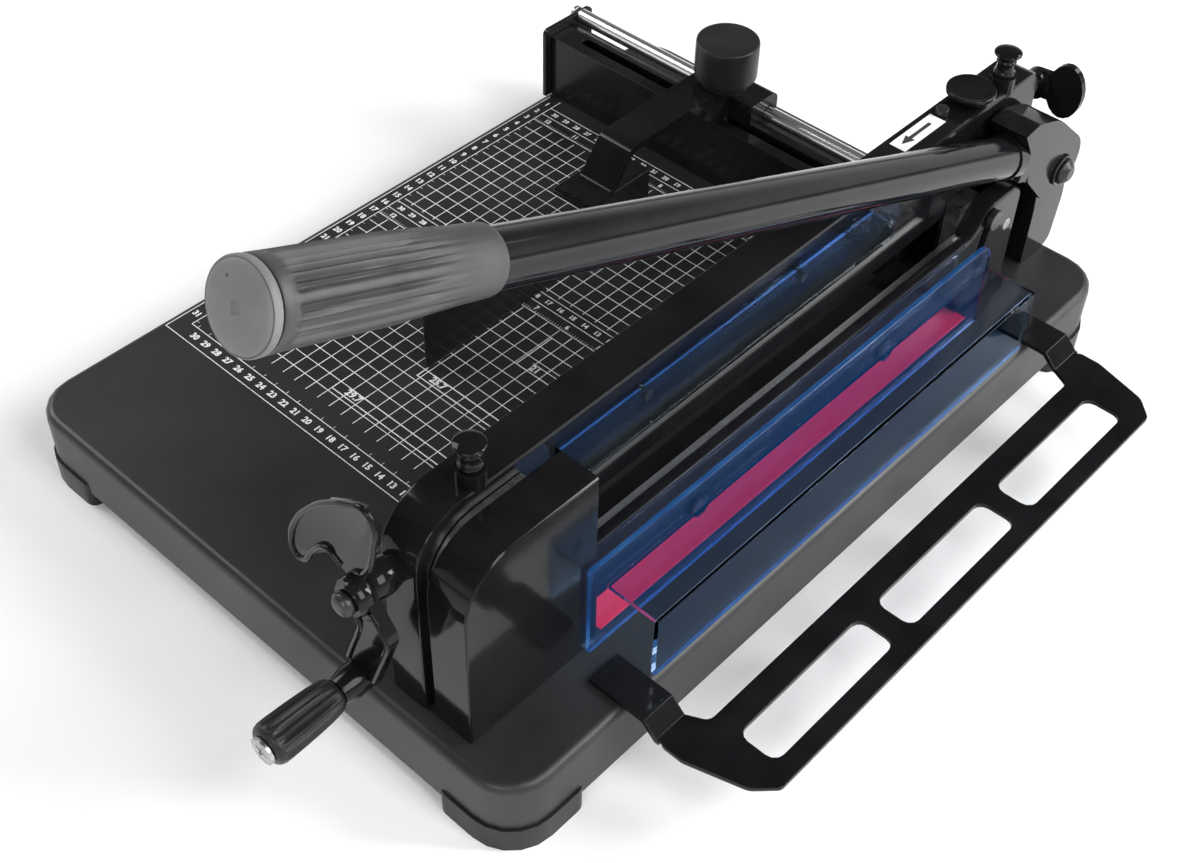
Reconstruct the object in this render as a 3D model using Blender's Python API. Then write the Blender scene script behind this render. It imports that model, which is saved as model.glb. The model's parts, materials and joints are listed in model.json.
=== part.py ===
"""Stack paper cutter: a table with a printed grid, a long frame, a lever that drives a sliding blade,
a clamp raised by a crank, a paper stop on a rod and a tray frame for the cut strips.

Working axes: x = 0 is the cut line and +X the output side, y = 0 is the fence's face and -Y the operator,
z = 0 is the table's top. At the end the whole stands on its base centre.
"""
import bpy
import bmesh
import math
from mathutils import Matrix, Vector

# Clearances
SEAT_GAP = 0.0003
RUN_GAP = 0.0005
CUT_OVERRUN = 0.002

# Table
TABLE_LEFT = 0.326
TABLE_RIGHT = 0.058
TABLE_FRONT = 0.423
TABLE_BACK = 0.102
TABLE_HEIGHT = 0.040
TABLE_CORNER = 0.026
TABLE_EDGE = 0.005
TABLE_WALL = 0.003
COVER_THICK = 0.002
FOOT_SIZE = 0.052
FOOT_HEIGHT = 0.011
FOOT_PROUD = 0.0015
FOOT_WRAP = 0.006
FOOT_SCREW_HOLE = 0.005
FOOT_SCREW_DEEP = 0.004

# Cutting stick in its groove
STICK_LEFT = 0.004
STICK_RIGHT = 0.016
STICK_FRONT = 0.318
STICK_BACK = 0.006
STICK_THICK = 0.005
CHANNEL_WALL = 0.003

# Main frame
BEAM_RIGHT = 0.010
BEAM_THICK = 0.024
BEAM_TOP = 0.127
BEAM_FRONT = 0.4115
BEAM_BACK = 0.086
BEAM_UNDER = 0.062
BEAM_NOSE = 0.030
BEAM_TAIL = 0.012
BEAM_EDGE = 0.002
COLUMN_FRONT = 0.345
COLUMN_BACK = 0.003
POCKET_LEFT_WALL = 0.004
POCKET_RIGHT_WALL = 0.0015
POCKET_STEP = 0.002
FRAME_BOLT_RADIUS = 0.004
FRAME_BOLT_HEAD = 0.0065
FRAME_BOLT_HEAD_THICK = 0.005
FRAME_BOLT_DEEP = 0.016
FRAME_BOLT_FROM_END = 0.013

# Blade, its carrier and the drive
BLADE_THICK = 0.005
BLADE_FRONT = 0.322
BLADE_BACK = 0.002
BLADE_TALL = 0.058
BLADE_EDGE_LAND = 0.0008
BLADE_BEVEL_TALL = 0.012
CARRIER_RIGHT = 0.012
CARRIER_TOP = 0.060
CARRIER_UNDER = 0.018
CARRIER_EDGE = 0.003
BLOCK_FRONT_FAR = 0.4077
BLOCK_FRONT_NEAR = 0.330
BLOCK_BACK_NEAR = 0.0025
BLOCK_BACK_FAR = 0.053
BLOCK_BACK_TOP = 0.076
BLOCK_UNDER = 0.002
SLIDE_ANGLE = math.radians(12)
SLIDE_RISE = 0.042
GUIDE_RADIUS = 0.004
GUIDE_FRONT_Y = 0.391
GUIDE_FRONT_Z = 0.052
GUIDE_BACK_Y = 0.019
GUIDE_BACK_Z = 0.066
GUIDE_HEAD = 0.0065
GUIDE_HEAD_THICK = 0.004
BLADE_SCREWS = 2
BLADE_SCREW_RADIUS = 0.0035
BLADE_SCREW_HEAD_THICK = 0.0025
BLADE_SCREW_Z = 0.028
DRIVE_RADIUS = 0.004
DRIVE_DOWN = 0.021
DRIVE_FORWARD = 0.0415

# Guide blocks between frame and carrier
GUIDE_BLOCK_FRONT_FAR = 0.404
GUIDE_BLOCK_FRONT_NEAR = 0.346
GUIDE_BLOCK_BACK_NEAR = 0.004
GUIDE_BLOCK_BACK_FAR = 0.0245
GUIDE_BLOCK_FOOT = 0.002
GUIDE_BLOCK_BACK_TOP = 0.074
BLOCK_BOLT_RADIUS = 0.0025
BLOCK_BOLT_HEAD = 0.0045
BLOCK_BOLT_HEAD_THICK = 0.003

# Front cover
COVER_LEFT = 0.005
COVER_RIGHT = 0.0197
COVER_FAR = 0.4105
COVER_NEAR = 0.325
COVER_TOP = 0.1195
COVER_WALL = 0.002
COVER_NOSE = 0.030
TAB_THICK = 0.003
TAB_DROP = 0.014
TAB_LENGTH = 0.030

# Top guard
GUARD_RIGHT = 0.012
GUARD_FAR = 0.324
GUARD_NEAR = 0.083
GUARD_TOP = 0.118
GUARD_THICK = 0.003
GUARD_FLANGE = 0.012
GUARD_END = 0.010
GUARD_SCREWS = 2
GUARD_SCREW_RADIUS = 0.0015
GUARD_SCREW_HEAD = 0.003
GUARD_SCREW_HEAD_THICK = 0.0015
GUARD_SCREW_DEEP = 0.008

# Side guard
SIDE_LEFT = 0.0204
SIDE_RIGHT = 0.056
SIDE_FAR = 0.321
SIDE_NEAR = 0.007
SIDE_TOP = 0.043
SCREEN_TOP = 0.062
SCREEN_CORNER = 0.012
SIDE_WALL = 0.003
SIDE_LIP = 0.012

# Tray frame
TRAY_THICK = 0.003
TRAY_REST_START = 0.035
TRAY_JOG_START = 0.069
TRAY_JOG_END = 0.079
TRAY_DROP = 0.008
TRAY_FRONT_ARM_FAR = 0.350
TRAY_FRONT_ARM_NEAR = 0.325
TRAY_BACK_ARM_NEAR = 0.010
TRAY_BACK_ARM_FAR = 0.034
TRAY_FRONT_HOOK = 0.346
TRAY_FRONT_OUT = 0.336
TRAY_BACK_HOOK = 0.033
TRAY_BACK_OUT = 0.024
TRAY_SHOULDER = 0.095
TRAY_CORNER_IN = 0.128
TRAY_RIGHT = 0.139
TRAY_BAR_LEFT = 0.090
TRAY_BAR_RIGHT = 0.105
TRAY_RAIL = 0.011
TRAY_CROSS = 0.014
TRAY_WINDOWS = 3
TRAY_WINDOW_FAR = 0.316
TRAY_WINDOW_NEAR = 0.003
TRAY_WINDOW_CORNER = 0.006

# Pivot post and bolt
PIVOT_Y = 0.084
PIVOT_Z = 0.069
POST_LEFT = 0.0015
POST_RIGHT = 0.0135
POST_FRONT = 0.072
POST_BACK_LOW = 0.104
POST_BACK_HIGH = 0.108
POST_CURVE_Z = 0.036
POST_HEAD = 0.014
POST_CORNER = 0.008
PIVOT_RADIUS = 0.006
PIVOT_PLAY = 0.0001
PIVOT_HEAD = 0.0083
PIVOT_HEAD_THICK = 0.005
WASHER_RADIUS = 0.010
WASHER_THICK = 0.0015
NUT_THICK = 0.003

# Lever
LEVER_X = 0.006
LEVER_ANGLE = math.radians(22.55)
LEVER_OFFSET = 0.0081
LEVER_SWING = math.radians(59.5)
TUBE_RADIUS = 0.0125
TUBE_WALL = 0.0025
TUBE_START = 0.0665
TUBE_END = 0.600
SPIGOT_END = 0.095
COLLAR_RADIUS = 0.0135
COLLAR_START = 0.056
COLLAR_END = 0.066
CHEEK_THICK = 0.004
CHEEK_GAP = 0.016
HEAD_BACK = 0.019
HEAD_HEEL_N = 0.017
HEAD_CREST_U = 0.033
HEAD_CREST_N = 0.0345
HEAD_BROW_U = 0.060
HEAD_BROW_N = 0.0335
HEAD_TIP_U = 0.072
HEAD_TIP_N = 0.0265
HEAD_NOTCH_U = 0.053
HEAD_NOTCH_N = 0.013
HEAD_CHIN_U = 0.043
HEAD_CHIN_N = 0.004
HEAD_ROUND = 0.012
HEAD_HEEL_ROUND = 0.020
HEAD_CREST_ROUND = 0.040
WEB_START = 0.024
WEB_UNDER = 0.0225
NOSE_START = 0.046
NOSE_UNDER = 0.003
ARM_STEEL = 0.005
GRIP_ON_TUBE = 0.095
GRIP_PAST_TUBE = 0.016
GRIP_NECK = 0.040
GRIP_NECK_RADIUS = 0.0143
GRIP_RADIUS = 0.0170
GRIP_FLUTES = 32
GRIP_FLUTE_DEEP = 0.0007
CAP_RADIUS = 0.0172
CAP_THICK = 0.006
CAP_DOME = 0.002
CAP_RECESS = 0.0035
CAP_RECESS_DEEP = 0.001

# Clamp
CLAMP_LEFT = 0.0335
CLAMP_RIGHT = 0.0006
CLAMP_FAR = 0.3435
CLAMP_NEAR = 0.0005
CLAMP_UNDER = 0.0005
CLAMP_TALL = 0.018
TONGUE_FRONT = 0.378
TONGUE_BACK = 0.060
ROD_X = 0.0165
ROD_RADIUS = 0.004
ROD_FRONT_Y = 0.370
ROD_BACK_Y = 0.052
CUP_RADIUS = 0.0075
CUP_TALL = 0.008
KNOB_NECK_RADIUS = 0.0045
KNOB_BEAD_RADIUS = 0.006
KNOB_NECK_TALL = 0.005
KNOB_RADIUS = 0.0078
KNOB_TALL = 0.006
KNOB_ROUND = 0.002
RACK_LOW = 0.050
RACK_HIGH = 0.101

# Crank shaft, pinions and brake
SHAFT_X = 0.025
SHAFT_Z = 0.095
SHAFT_RADIUS = 0.004
PINION_TEETH = 13
PINION_MODULE = 0.001
PINION_THICK = 0.006
PINION_PLAY = 0.0005
PINION_ROOM = 0.0015
SHAFT_BOSS_RADIUS = 0.0095
SHAFT_BOSS_LONG = 0.016
REAR_BOSS_LONG = 0.010
BOSS_NECK_SHARE = 0.8
BRAKE_X = 0.022
BRAKE_Y = 0.028
BRAKE_RADIUS = 0.0145
BRAKE_THICK = 0.005
BRAKE_RIM = 0.001
BRAKE_SCREW_X = 0.025
BRAKE_SCREW_Y = 0.005
BRAKE_SCREW_RADIUS = 0.002
BRAKE_SCREW_HEAD = 0.0038
BRAKE_SCREW_TALL = 0.004
BRAKE_SCREW_DEEP = 0.007
BRAKE_STEM = 0.004
BRAKE_STEM_DEEP = 0.012
BRAKE_STEM_UP = 0.003

# Crank arm with its wing, nut and grip
CRANK_THICK = 0.006
CRANK_HUB = 0.010
CRANK_HUB_LONG = 0.010
CRANK_GRIP_X = 0.028
CRANK_GRIP_Z = 0.035
CRANK_BULGE_X = 0.004
CRANK_BULGE_Z = 0.078
CRANK_ARM_WIDE = 0.017
CRANK_END = 0.0085
CRANK_BACKSET = 0.014
CRANK_NUT_RADIUS = 0.0065
CRANK_NUT_THICK = 0.005
WING_THICK = 0.003
WING_REACH = 0.063
SMALL_GRIP_RADIUS = 0.0112
SMALL_GRIP_LONG = 0.042
SMALL_GRIP_FLUTES = 12
SMALL_GRIP_FLUTE_DEEP = 0.0012
SMALL_GRIP_BORE = 0.0035
GRIP_PIN_RADIUS = 0.0025
GRIP_PIN_HEAD = 0.0075
GRIP_PIN_HEAD_THICK = 0.002
EAR_Y = 0.117
EAR_THICK = 0.004
EAR_X = 0.006
EAR_Z = 0.097
EAR_WIDE = 0.024
EAR_TALL = 0.036
EAR_HUB = 0.009

# Fence and rod
FENCE_TOP = 0.046
FENCE_WALL = 0.002
FENCE_DEEP = 0.023
FENCE_LEFT = 0.3225
FENCE_RIGHT = 0.0365
FENCE_SLOT_NEAR = 0.0085
FENCE_SLOT_FAR = 0.016
FENCE_SLOT_IN = 0.0185
FENCE_SLOT_RIGHT = 0.050
END_THICK = 0.003
END_NEAR = 0.005
END_FAR = 0.041
END_TOP = 0.052
END_CORNER = 0.004
RAIL_ROD_RADIUS = 0.005
RAIL_ROD_Y = 0.030
RAIL_ROD_Z = 0.049
ROD_SCREW_HEAD = 0.005
ROD_SCREW_HEAD_THICK = 0.0025
BRACKET_THICK = 0.004
BRACKET_TOP = 0.058
BRACKET_WIDE = 0.020
FENCE_SCREWS = 2
FENCE_SCREW_RADIUS = 0.002
FENCE_SCREW_HEAD = 0.004
FENCE_SCREW_HEAD_THICK = 0.002

# Paper stop
STOP_X = 0.182
STOP_WALL = 0.003
STOP_FAR = 0.248
STOP_NEAR = 0.058
STOP_TALL = 0.040
STOP_FLANGE = 0.030
STOP_FLANGE_FAR = 0.115
STOP_LIFT = 0.0005
ARM_LEFT = 0.204
ARM_RIGHT = 0.179
ARM_WALL = 0.005
ARM_TOP = 0.0695
ARM_CREST_Y = 0.080
ARM_DROP_Y = 0.098
ARM_TOE_Y = 0.115
ARM_ROUND = 0.012
ARM_HEEL_Y = 0.001
SADDLE_LEFT = 0.204
SADDLE_RIGHT = 0.160
SADDLE_TOP = 0.062
SADDLE_UNDER = 0.040
SADDLE_NEAR = 0.0236
SADDLE_FAR = 0.039
SADDLE_ROUND = 0.006
LOCK_X = 0.183
LOCK_Y = 0.01225
LOCK_RADIUS = 0.020
LOCK_UNDER = 0.070
LOCK_TOP = 0.101
LOCK_FLUTES = 28
LOCK_FLUTE_DEEP = 0.0005
LOCK_STUD_RADIUS = 0.003
LOCK_FOOT_RADIUS = 0.0055
LOCK_FOOT_THICK = 0.003

# Arrow label on the beam
LABEL_X = 0.0242
LABEL_WIDE = 0.0105
LABEL_LONG = 0.039
LABEL_THICK = 0.0004

ROUND_SIDES = 24
SMALL_SIDES = 12
TINY_SIDES = 8
NUT_SIDES = 6
CAP_SIDES = 32
EAR_SIDES = 20
CORNER_STEPS = 5
NOSE_STEPS = 6
SLOT_STEPS = 6
ARM_STEPS = 4
LEVEL_SLACK = 0.00003
BEVEL_ROUND_SHARE = 0.5
FULL_TURN = 2 * math.pi
PRESSURE_ANGLE = math.radians(20)
TOOTH_TIP_SHARE = 0.9
TOOTH_ROOT_SHARE = 1.2
RACK_ROOT_SHARE = 1.25
TOOTH_POINT_SHARE = 0.35
TOOTH_FOOT_SHARE = 1.45
PIVOT_DOME_SHARE = 0.8
HUB_RIM_SHARE = 0.85
EYE_RIM_SHARE = 0.8
LOCK_RIM_SHARE = 0.9
SMALL_GRIP_FRONT_SHARE = 0.85
SMALL_GRIP_WAIST_SHARE = 0.9
SMALL_GRIP_NECK_SHARE = 0.8
SMALL_GRIP_TAIL_SHARE = 0.65
WING_SHARES = [
    (0.06, 0.20), (0.12, 0.36), (0.24, 0.64), (0.27, 0.90), (0.17, 1.0), (0.0, 0.93), (-0.22, 0.78),
    (-0.46, 0.55), (-0.66, 0.26), (-0.75, 0.0), (-0.72, -0.16), (-0.64, -0.20), (-0.46, 0.04),
    (-0.29, 0.19), (-0.12, 0.10), (-0.03, 0.22)]

# Colour, roughness, metal and opacity of each finish
FINISHES = {
    "satin_black": ((0.045, 0.045, 0.048), 0.42, 0.0, 1.0),
    "gloss_black": ((0.02, 0.02, 0.022), 0.12, 0.0, 1.0),
    "black_plastic": ((0.035, 0.035, 0.036), 0.5, 0.0, 1.0),
    "dark_rubber": ((0.06, 0.06, 0.062), 0.65, 0.0, 1.0),
    "clear_blue": ((0.03, 0.22, 0.55), 0.05, 0.0, 0.5),
    "crimson": ((0.45, 0.02, 0.08), 0.4, 0.0, 1.0),
    "chrome": ((0.8, 0.8, 0.82), 0.08, 1.0, 1.0),
    "plain_steel": ((0.5, 0.5, 0.52), 0.3, 1.0, 1.0),
    "blade_steel": ((0.62, 0.63, 0.65), 0.2, 1.0, 1.0),
    "black_zinc": ((0.08, 0.08, 0.085), 0.3, 0.8, 1.0),
    "label_white": ((0.85, 0.85, 0.85), 0.4, 0.0, 1.0)}

SMOOTH_ANGLE = math.radians(32)
AXES = {"X": (1, 2, 0), "Y": (0, 2, 1), "Z": (0, 1, 2)}

# Worked out from the sizes above
GRIP_START = TUBE_END - GRIP_ON_TUBE
GRIP_END = TUBE_END + GRIP_PAST_TUBE
TAB_Y = (COVER_FAR + COVER_NEAR) / 2
FENCE_SLOT_LEFT = FENCE_LEFT - FENCE_SLOT_IN
END_LEFT = FENCE_LEFT + END_THICK
BEAM_LEFT = BEAM_RIGHT + BEAM_THICK
BEAM_MID = BEAM_RIGHT + BEAM_THICK / 2
SLIDE_SHIFT = SLIDE_RISE * math.tan(SLIDE_ANGLE)
DRIVE_Y = PIVOT_Y - DRIVE_FORWARD
DRIVE_Z = PIVOT_Z - DRIVE_DOWN
PINION_RADIUS = PINION_TEETH * PINION_MODULE / 2


def clear_scene():
    for item in list(bpy.data.objects):
        bpy.data.objects.remove(item, do_unlink=True)


def finish(name):
    """A plain material from the table of finishes."""
    colour, roughness, metallic, alpha = FINISHES[name]
    made = bpy.data.materials.new(name)
    made.use_nodes = True
    shader = made.node_tree.nodes["Principled BSDF"]
    shader.inputs["Base Color"].default_value = (*colour, 1.0)
    shader.inputs["Roughness"].default_value = roughness
    shader.inputs["Metallic"].default_value = metallic
    shader.inputs["Alpha"].default_value = alpha
    made.diffuse_color = (*colour, alpha)
    return made


def point_on(axis, a, b, along):
    """A point from two coordinates across an axis and one along it."""
    spot = [0.0, 0.0, 0.0]
    first, second, third = AXES[axis]
    spot[first] = a
    spot[second] = b
    spot[third] = along
    return Vector(spot)


def arc(centre, radius, start, end, steps):
    """Points on an arc, both ends included."""
    points = []
    for step in range(steps + 1):
        angle = start + (end - start) * step / steps
        points.append((centre[0] + radius * math.cos(angle), centre[1] + radius * math.sin(angle)))
    return points


def rounded(corners, steps=CORNER_STEPS):
    """An outline from corners (a, b, radius): each corner with a radius becomes an arc."""
    outline = []
    count = len(corners)
    for index, corner in enumerate(corners):
        here = Vector(corner[:2])
        if len(corner) < 3 or corner[2] == 0:
            outline.append(tuple(here))
            continue
        before = (Vector(corners[index - 1][:2]) - here).normalized()
        after = (Vector(corners[(index + 1) % count][:2]) - here).normalized()
        half = before.angle(after) / 2
        middle = here + (before + after).normalized() * (corner[2] / math.sin(half))
        start = here + before * (corner[2] / math.tan(half)) - middle
        end = here + after * (corner[2] / math.tan(half)) - middle
        start_angle = math.atan2(start.y, start.x)
        turn = math.atan2(start.x * end.y - start.y * end.x, start.dot(end))
        outline += arc(middle, corner[2], start_angle, start_angle + turn, steps)
    return outline


def stadium(first, second, radius, steps=SLOT_STEPS):
    """A slot's outline: two half circles round two centres."""
    along = Vector(second) - Vector(first)
    angle = math.atan2(along.y, along.x)
    outline = arc(second, radius, angle - math.pi / 2, angle + math.pi / 2, steps)
    return outline + arc(first, radius, angle + math.pi / 2, angle + math.pi + math.pi / 2, steps)


def prism(outline, axis, low, high):
    """A solid with the given outline, extruded along an axis."""
    solid = bmesh.new()
    ring = [solid.verts.new(point_on(axis, a, b, low)) for a, b in outline]
    face = solid.faces.new(ring)
    grown = bmesh.ops.extrude_face_region(solid, geom=[face])
    raised = [item for item in grown["geom"] if isinstance(item, bmesh.types.BMVert)]
    bmesh.ops.translate(solid, verts=raised, vec=point_on(axis, 0.0, 0.0, high - low))
    bmesh.ops.recalc_face_normals(solid, faces=solid.faces)
    return solid


def box(low, high):
    """A box between two corners."""
    outline = [(low[0], low[1]), (high[0], low[1]), (high[0], high[1]), (low[0], high[1])]
    return prism(outline, "Z", low[2], high[2])


def turned(profile, axis, centre, sides=ROUND_SIDES):
    """A solid of revolution: profile points are (radius, place along the axis), as a closed outline."""
    solid = bmesh.new()
    rings = []
    for radius, along in profile:
        if radius == 0:
            rings.append([solid.verts.new(point_on(axis, centre[0], centre[1], along))])
            continue
        ring = []
        for side in range(sides):
            angle = FULL_TURN * (2 * side + 1) / (2 * sides)
            a = centre[0] + radius * math.cos(angle)
            b = centre[1] + radius * math.sin(angle)
            ring.append(solid.verts.new(point_on(axis, a, b, along)))
        rings.append(ring)
    for first, second in zip(rings, rings[1:] + rings[:1]):
        if len(first) == 1 and len(second) == 1:
            continue
        for side in range(sides):
            nxt = (side + 1) % sides
            if len(first) == 1:
                solid.faces.new((first[0], second[side], second[nxt]))
            elif len(second) == 1:
                solid.faces.new((first[side], second[0], first[nxt]))
            else:
                solid.faces.new((first[side], second[side], second[nxt], first[nxt]))
    bmesh.ops.recalc_face_normals(solid, faces=solid.faces)
    return solid


def rod(axis, centre, radius, low, high, sides=SMALL_SIDES):
    return turned([(0, low), (radius, low), (radius, high), (0, high)], axis, centre, sides)


def ring(axis, centre, inner, outer, low, high, sides=ROUND_SIDES):
    return turned([(inner, low), (outer, low), (outer, high), (inner, high)], axis, centre, sides)


def joined(*solids):
    """Several solids in one mesh, still separate bodies."""
    whole = bmesh.new()
    for solid in solids:
        mesh = bpy.data.meshes.new("joined")
        solid.to_mesh(mesh)
        solid.free()
        whole.from_mesh(mesh)
        bpy.data.meshes.remove(mesh)
    return whole


def combine(solid, tool, operation):
    """Boolean of two solids."""
    meshes = []
    items = []
    for part in (solid, tool):
        mesh = bpy.data.meshes.new("boolean")
        part.to_mesh(mesh)
        part.free()
        item = bpy.data.objects.new("boolean", mesh)
        bpy.context.scene.collection.objects.link(item)
        meshes.append(mesh)
        items.append(item)
    modifier = items[0].modifiers.new("boolean", "BOOLEAN")
    modifier.operation = operation
    modifier.solver = "EXACT"
    modifier.object = items[1]
    graph = bpy.context.evaluated_depsgraph_get()
    result = bmesh.new()
    result.from_object(items[0], graph)
    for item in items:
        bpy.data.objects.remove(item, do_unlink=True)
    for mesh in meshes:
        bpy.data.meshes.remove(mesh)
    return result


def cut(solid, *tools):
    return combine(solid, joined(*tools), "DIFFERENCE")


def fused(solid, *tools):
    for tool in tools:
        solid = combine(solid, tool, "UNION")
    return solid


def soften(solid, width, chosen, segments=2):
    """Rounds the edges that the test picks."""
    edges = [edge for edge in solid.edges if chosen(edge.verts[0].co, edge.verts[1].co)]
    bmesh.ops.bevel(solid, geom=edges, offset=width, segments=segments, profile=BEVEL_ROUND_SHARE,
                    affect="EDGES", clamp_overlap=True)
    return solid


def on_level(index, *levels):
    """A test for edges that lie at one of the given levels of an axis."""
    def chosen(first, second):
        for level in levels:
            if max(abs(first[index] - level), abs(second[index] - level)) < LEVEL_SLACK:
                return True
        return False
    return chosen


def group(name, location, parent):
    """An empty on a joint's axis, which carries the pieces that move together."""
    empty = bpy.data.objects.new(name, None)
    empty.empty_display_size = TABLE_HEIGHT
    bpy.context.scene.collection.objects.link(empty)
    empty.parent = parent
    if parent:
        location = Vector(location) - home(parent)
    empty.location = location
    return empty


def home(empty):
    """Where a group's origin lies in the working axes."""
    place = Vector(empty.location)
    while empty.parent:
        empty = empty.parent
        place += Vector(empty.location)
    return place


def piece(name, solid, material, parent):
    """A named piece whose mesh was made in the working axes."""
    bmesh.ops.recalc_face_normals(solid, faces=solid.faces)
    mesh = bpy.data.meshes.new(name)
    solid.to_mesh(mesh)
    solid.free()
    mesh.transform(Matrix.Translation(-home(parent)))
    mesh.shade_smooth()
    mesh.set_sharp_from_angle(angle=SMOOTH_ANGLE)
    mesh.materials.append(material)
    item = bpy.data.objects.new(name, mesh)
    item.parent = parent
    bpy.context.scene.collection.objects.link(item)
    return item


def table_outline(grown=0.0):
    """The table's plan with round corners, grown or shrunk on all sides."""
    corner = TABLE_CORNER + grown
    left = -TABLE_LEFT - grown
    right = TABLE_RIGHT + grown
    front = -TABLE_FRONT - grown
    back = TABLE_BACK + grown
    return rounded([(left, front, corner), (right, front, corner),
                    (right, back, corner), (left, back, corner)])


def make_table(parent, paint, steel, rubber, red):
    housing = prism(table_outline(), "Z", -TABLE_HEIGHT, 0.0)
    housing = soften(housing, TABLE_EDGE, on_level(2, 0.0), 3)
    hollow = prism(table_outline(-TABLE_WALL), "Z", -TABLE_HEIGHT - CUT_OVERRUN, -TABLE_WALL)
    groove = box((-STICK_LEFT - SEAT_GAP, -STICK_FRONT - SEAT_GAP, -TABLE_WALL - CUT_OVERRUN),
                 (STICK_RIGHT + SEAT_GAP, STICK_BACK + SEAT_GAP, CUT_OVERRUN))
    holes = [rod("Z", place, FRAME_BOLT_RADIUS + SEAT_GAP, -TABLE_WALL - CUT_OVERRUN, CUT_OVERRUN)
             for place in frame_bolt_places()]
    housing = cut(cut(housing, hollow), groove, *holes)
    piece("base_housing", housing, paint, parent)

    inner = -TABLE_WALL - SEAT_GAP
    plate = prism(table_outline(inner), "Z", -TABLE_HEIGHT, -TABLE_HEIGHT + COVER_THICK)
    piece("base_cover", plate, steel, parent)

    channel_top = -TABLE_WALL - SEAT_GAP
    channel_floor = -STICK_THICK - SEAT_GAP
    channel = box((-STICK_LEFT - SEAT_GAP - CHANNEL_WALL, -STICK_FRONT - SEAT_GAP - CHANNEL_WALL,
                   channel_floor - CHANNEL_WALL),
                  (STICK_RIGHT + SEAT_GAP + CHANNEL_WALL, STICK_BACK + SEAT_GAP + CHANNEL_WALL, channel_top))
    bed = box((-STICK_LEFT - SEAT_GAP, -STICK_FRONT - SEAT_GAP, channel_floor),
              (STICK_RIGHT + SEAT_GAP, STICK_BACK + SEAT_GAP, CUT_OVERRUN))
    piece("stick_channel", cut(channel, bed), steel, parent)
    stick = box((-STICK_LEFT, -STICK_FRONT, -STICK_THICK), (STICK_RIGHT, STICK_BACK, 0.0))
    piece("cutting_stick", stick, red, parent)

    corners = {"foot_front_left": (-1, -1), "foot_front_right": (1, -1),
               "foot_back_left": (-1, 1), "foot_back_right": (1, 1)}
    for name, (side, end) in corners.items():
        outer_x = TABLE_RIGHT + FOOT_PROUD if side > 0 else -TABLE_LEFT - FOOT_PROUD
        outer_y = TABLE_BACK + FOOT_PROUD if end > 0 else -TABLE_FRONT - FOOT_PROUD
        inner_x = outer_x - side * FOOT_SIZE
        inner_y = outer_y - end * FOOT_SIZE
        outline = rounded([(outer_x, outer_y, TABLE_CORNER + FOOT_PROUD), (inner_x, outer_y, FOOT_WRAP),
                           (inner_x, inner_y, TABLE_CORNER), (outer_x, inner_y, FOOT_WRAP)])
        foot = prism(outline, "Z", -TABLE_HEIGHT - FOOT_HEIGHT, -TABLE_HEIGHT + FOOT_WRAP)
        body = prism(table_outline(SEAT_GAP), "Z", -TABLE_HEIGHT - SEAT_GAP,
                     -TABLE_HEIGHT + FOOT_WRAP + CUT_OVERRUN)
        screw = rod("Z", ((outer_x + inner_x) / 2, (outer_y + inner_y) / 2), FOOT_SCREW_HOLE,
                    -TABLE_HEIGHT - FOOT_HEIGHT - CUT_OVERRUN, -TABLE_HEIGHT - FOOT_HEIGHT + FOOT_SCREW_DEEP)
        piece(name, cut(foot, body, screw), rubber, parent)


def frame_bolt_places():
    """Bolts that hold the frame's two columns and the pivot post to the table."""
    return [(-BEAM_MID, -BEAM_FRONT + FRAME_BOLT_FROM_END),
            (-BEAM_MID, BEAM_BACK - FRAME_BOLT_FROM_END),
            ((POST_RIGHT - POST_LEFT) / 2, (POST_FRONT + POST_BACK_LOW) / 2)]


def rod_places():
    return {"front": -ROD_FRONT_Y, "back": ROD_BACK_Y}


def guide_places():
    return {"front": (-GUIDE_FRONT_Y, GUIDE_FRONT_Z), "back": (GUIDE_BACK_Y, GUIDE_BACK_Z)}


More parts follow.
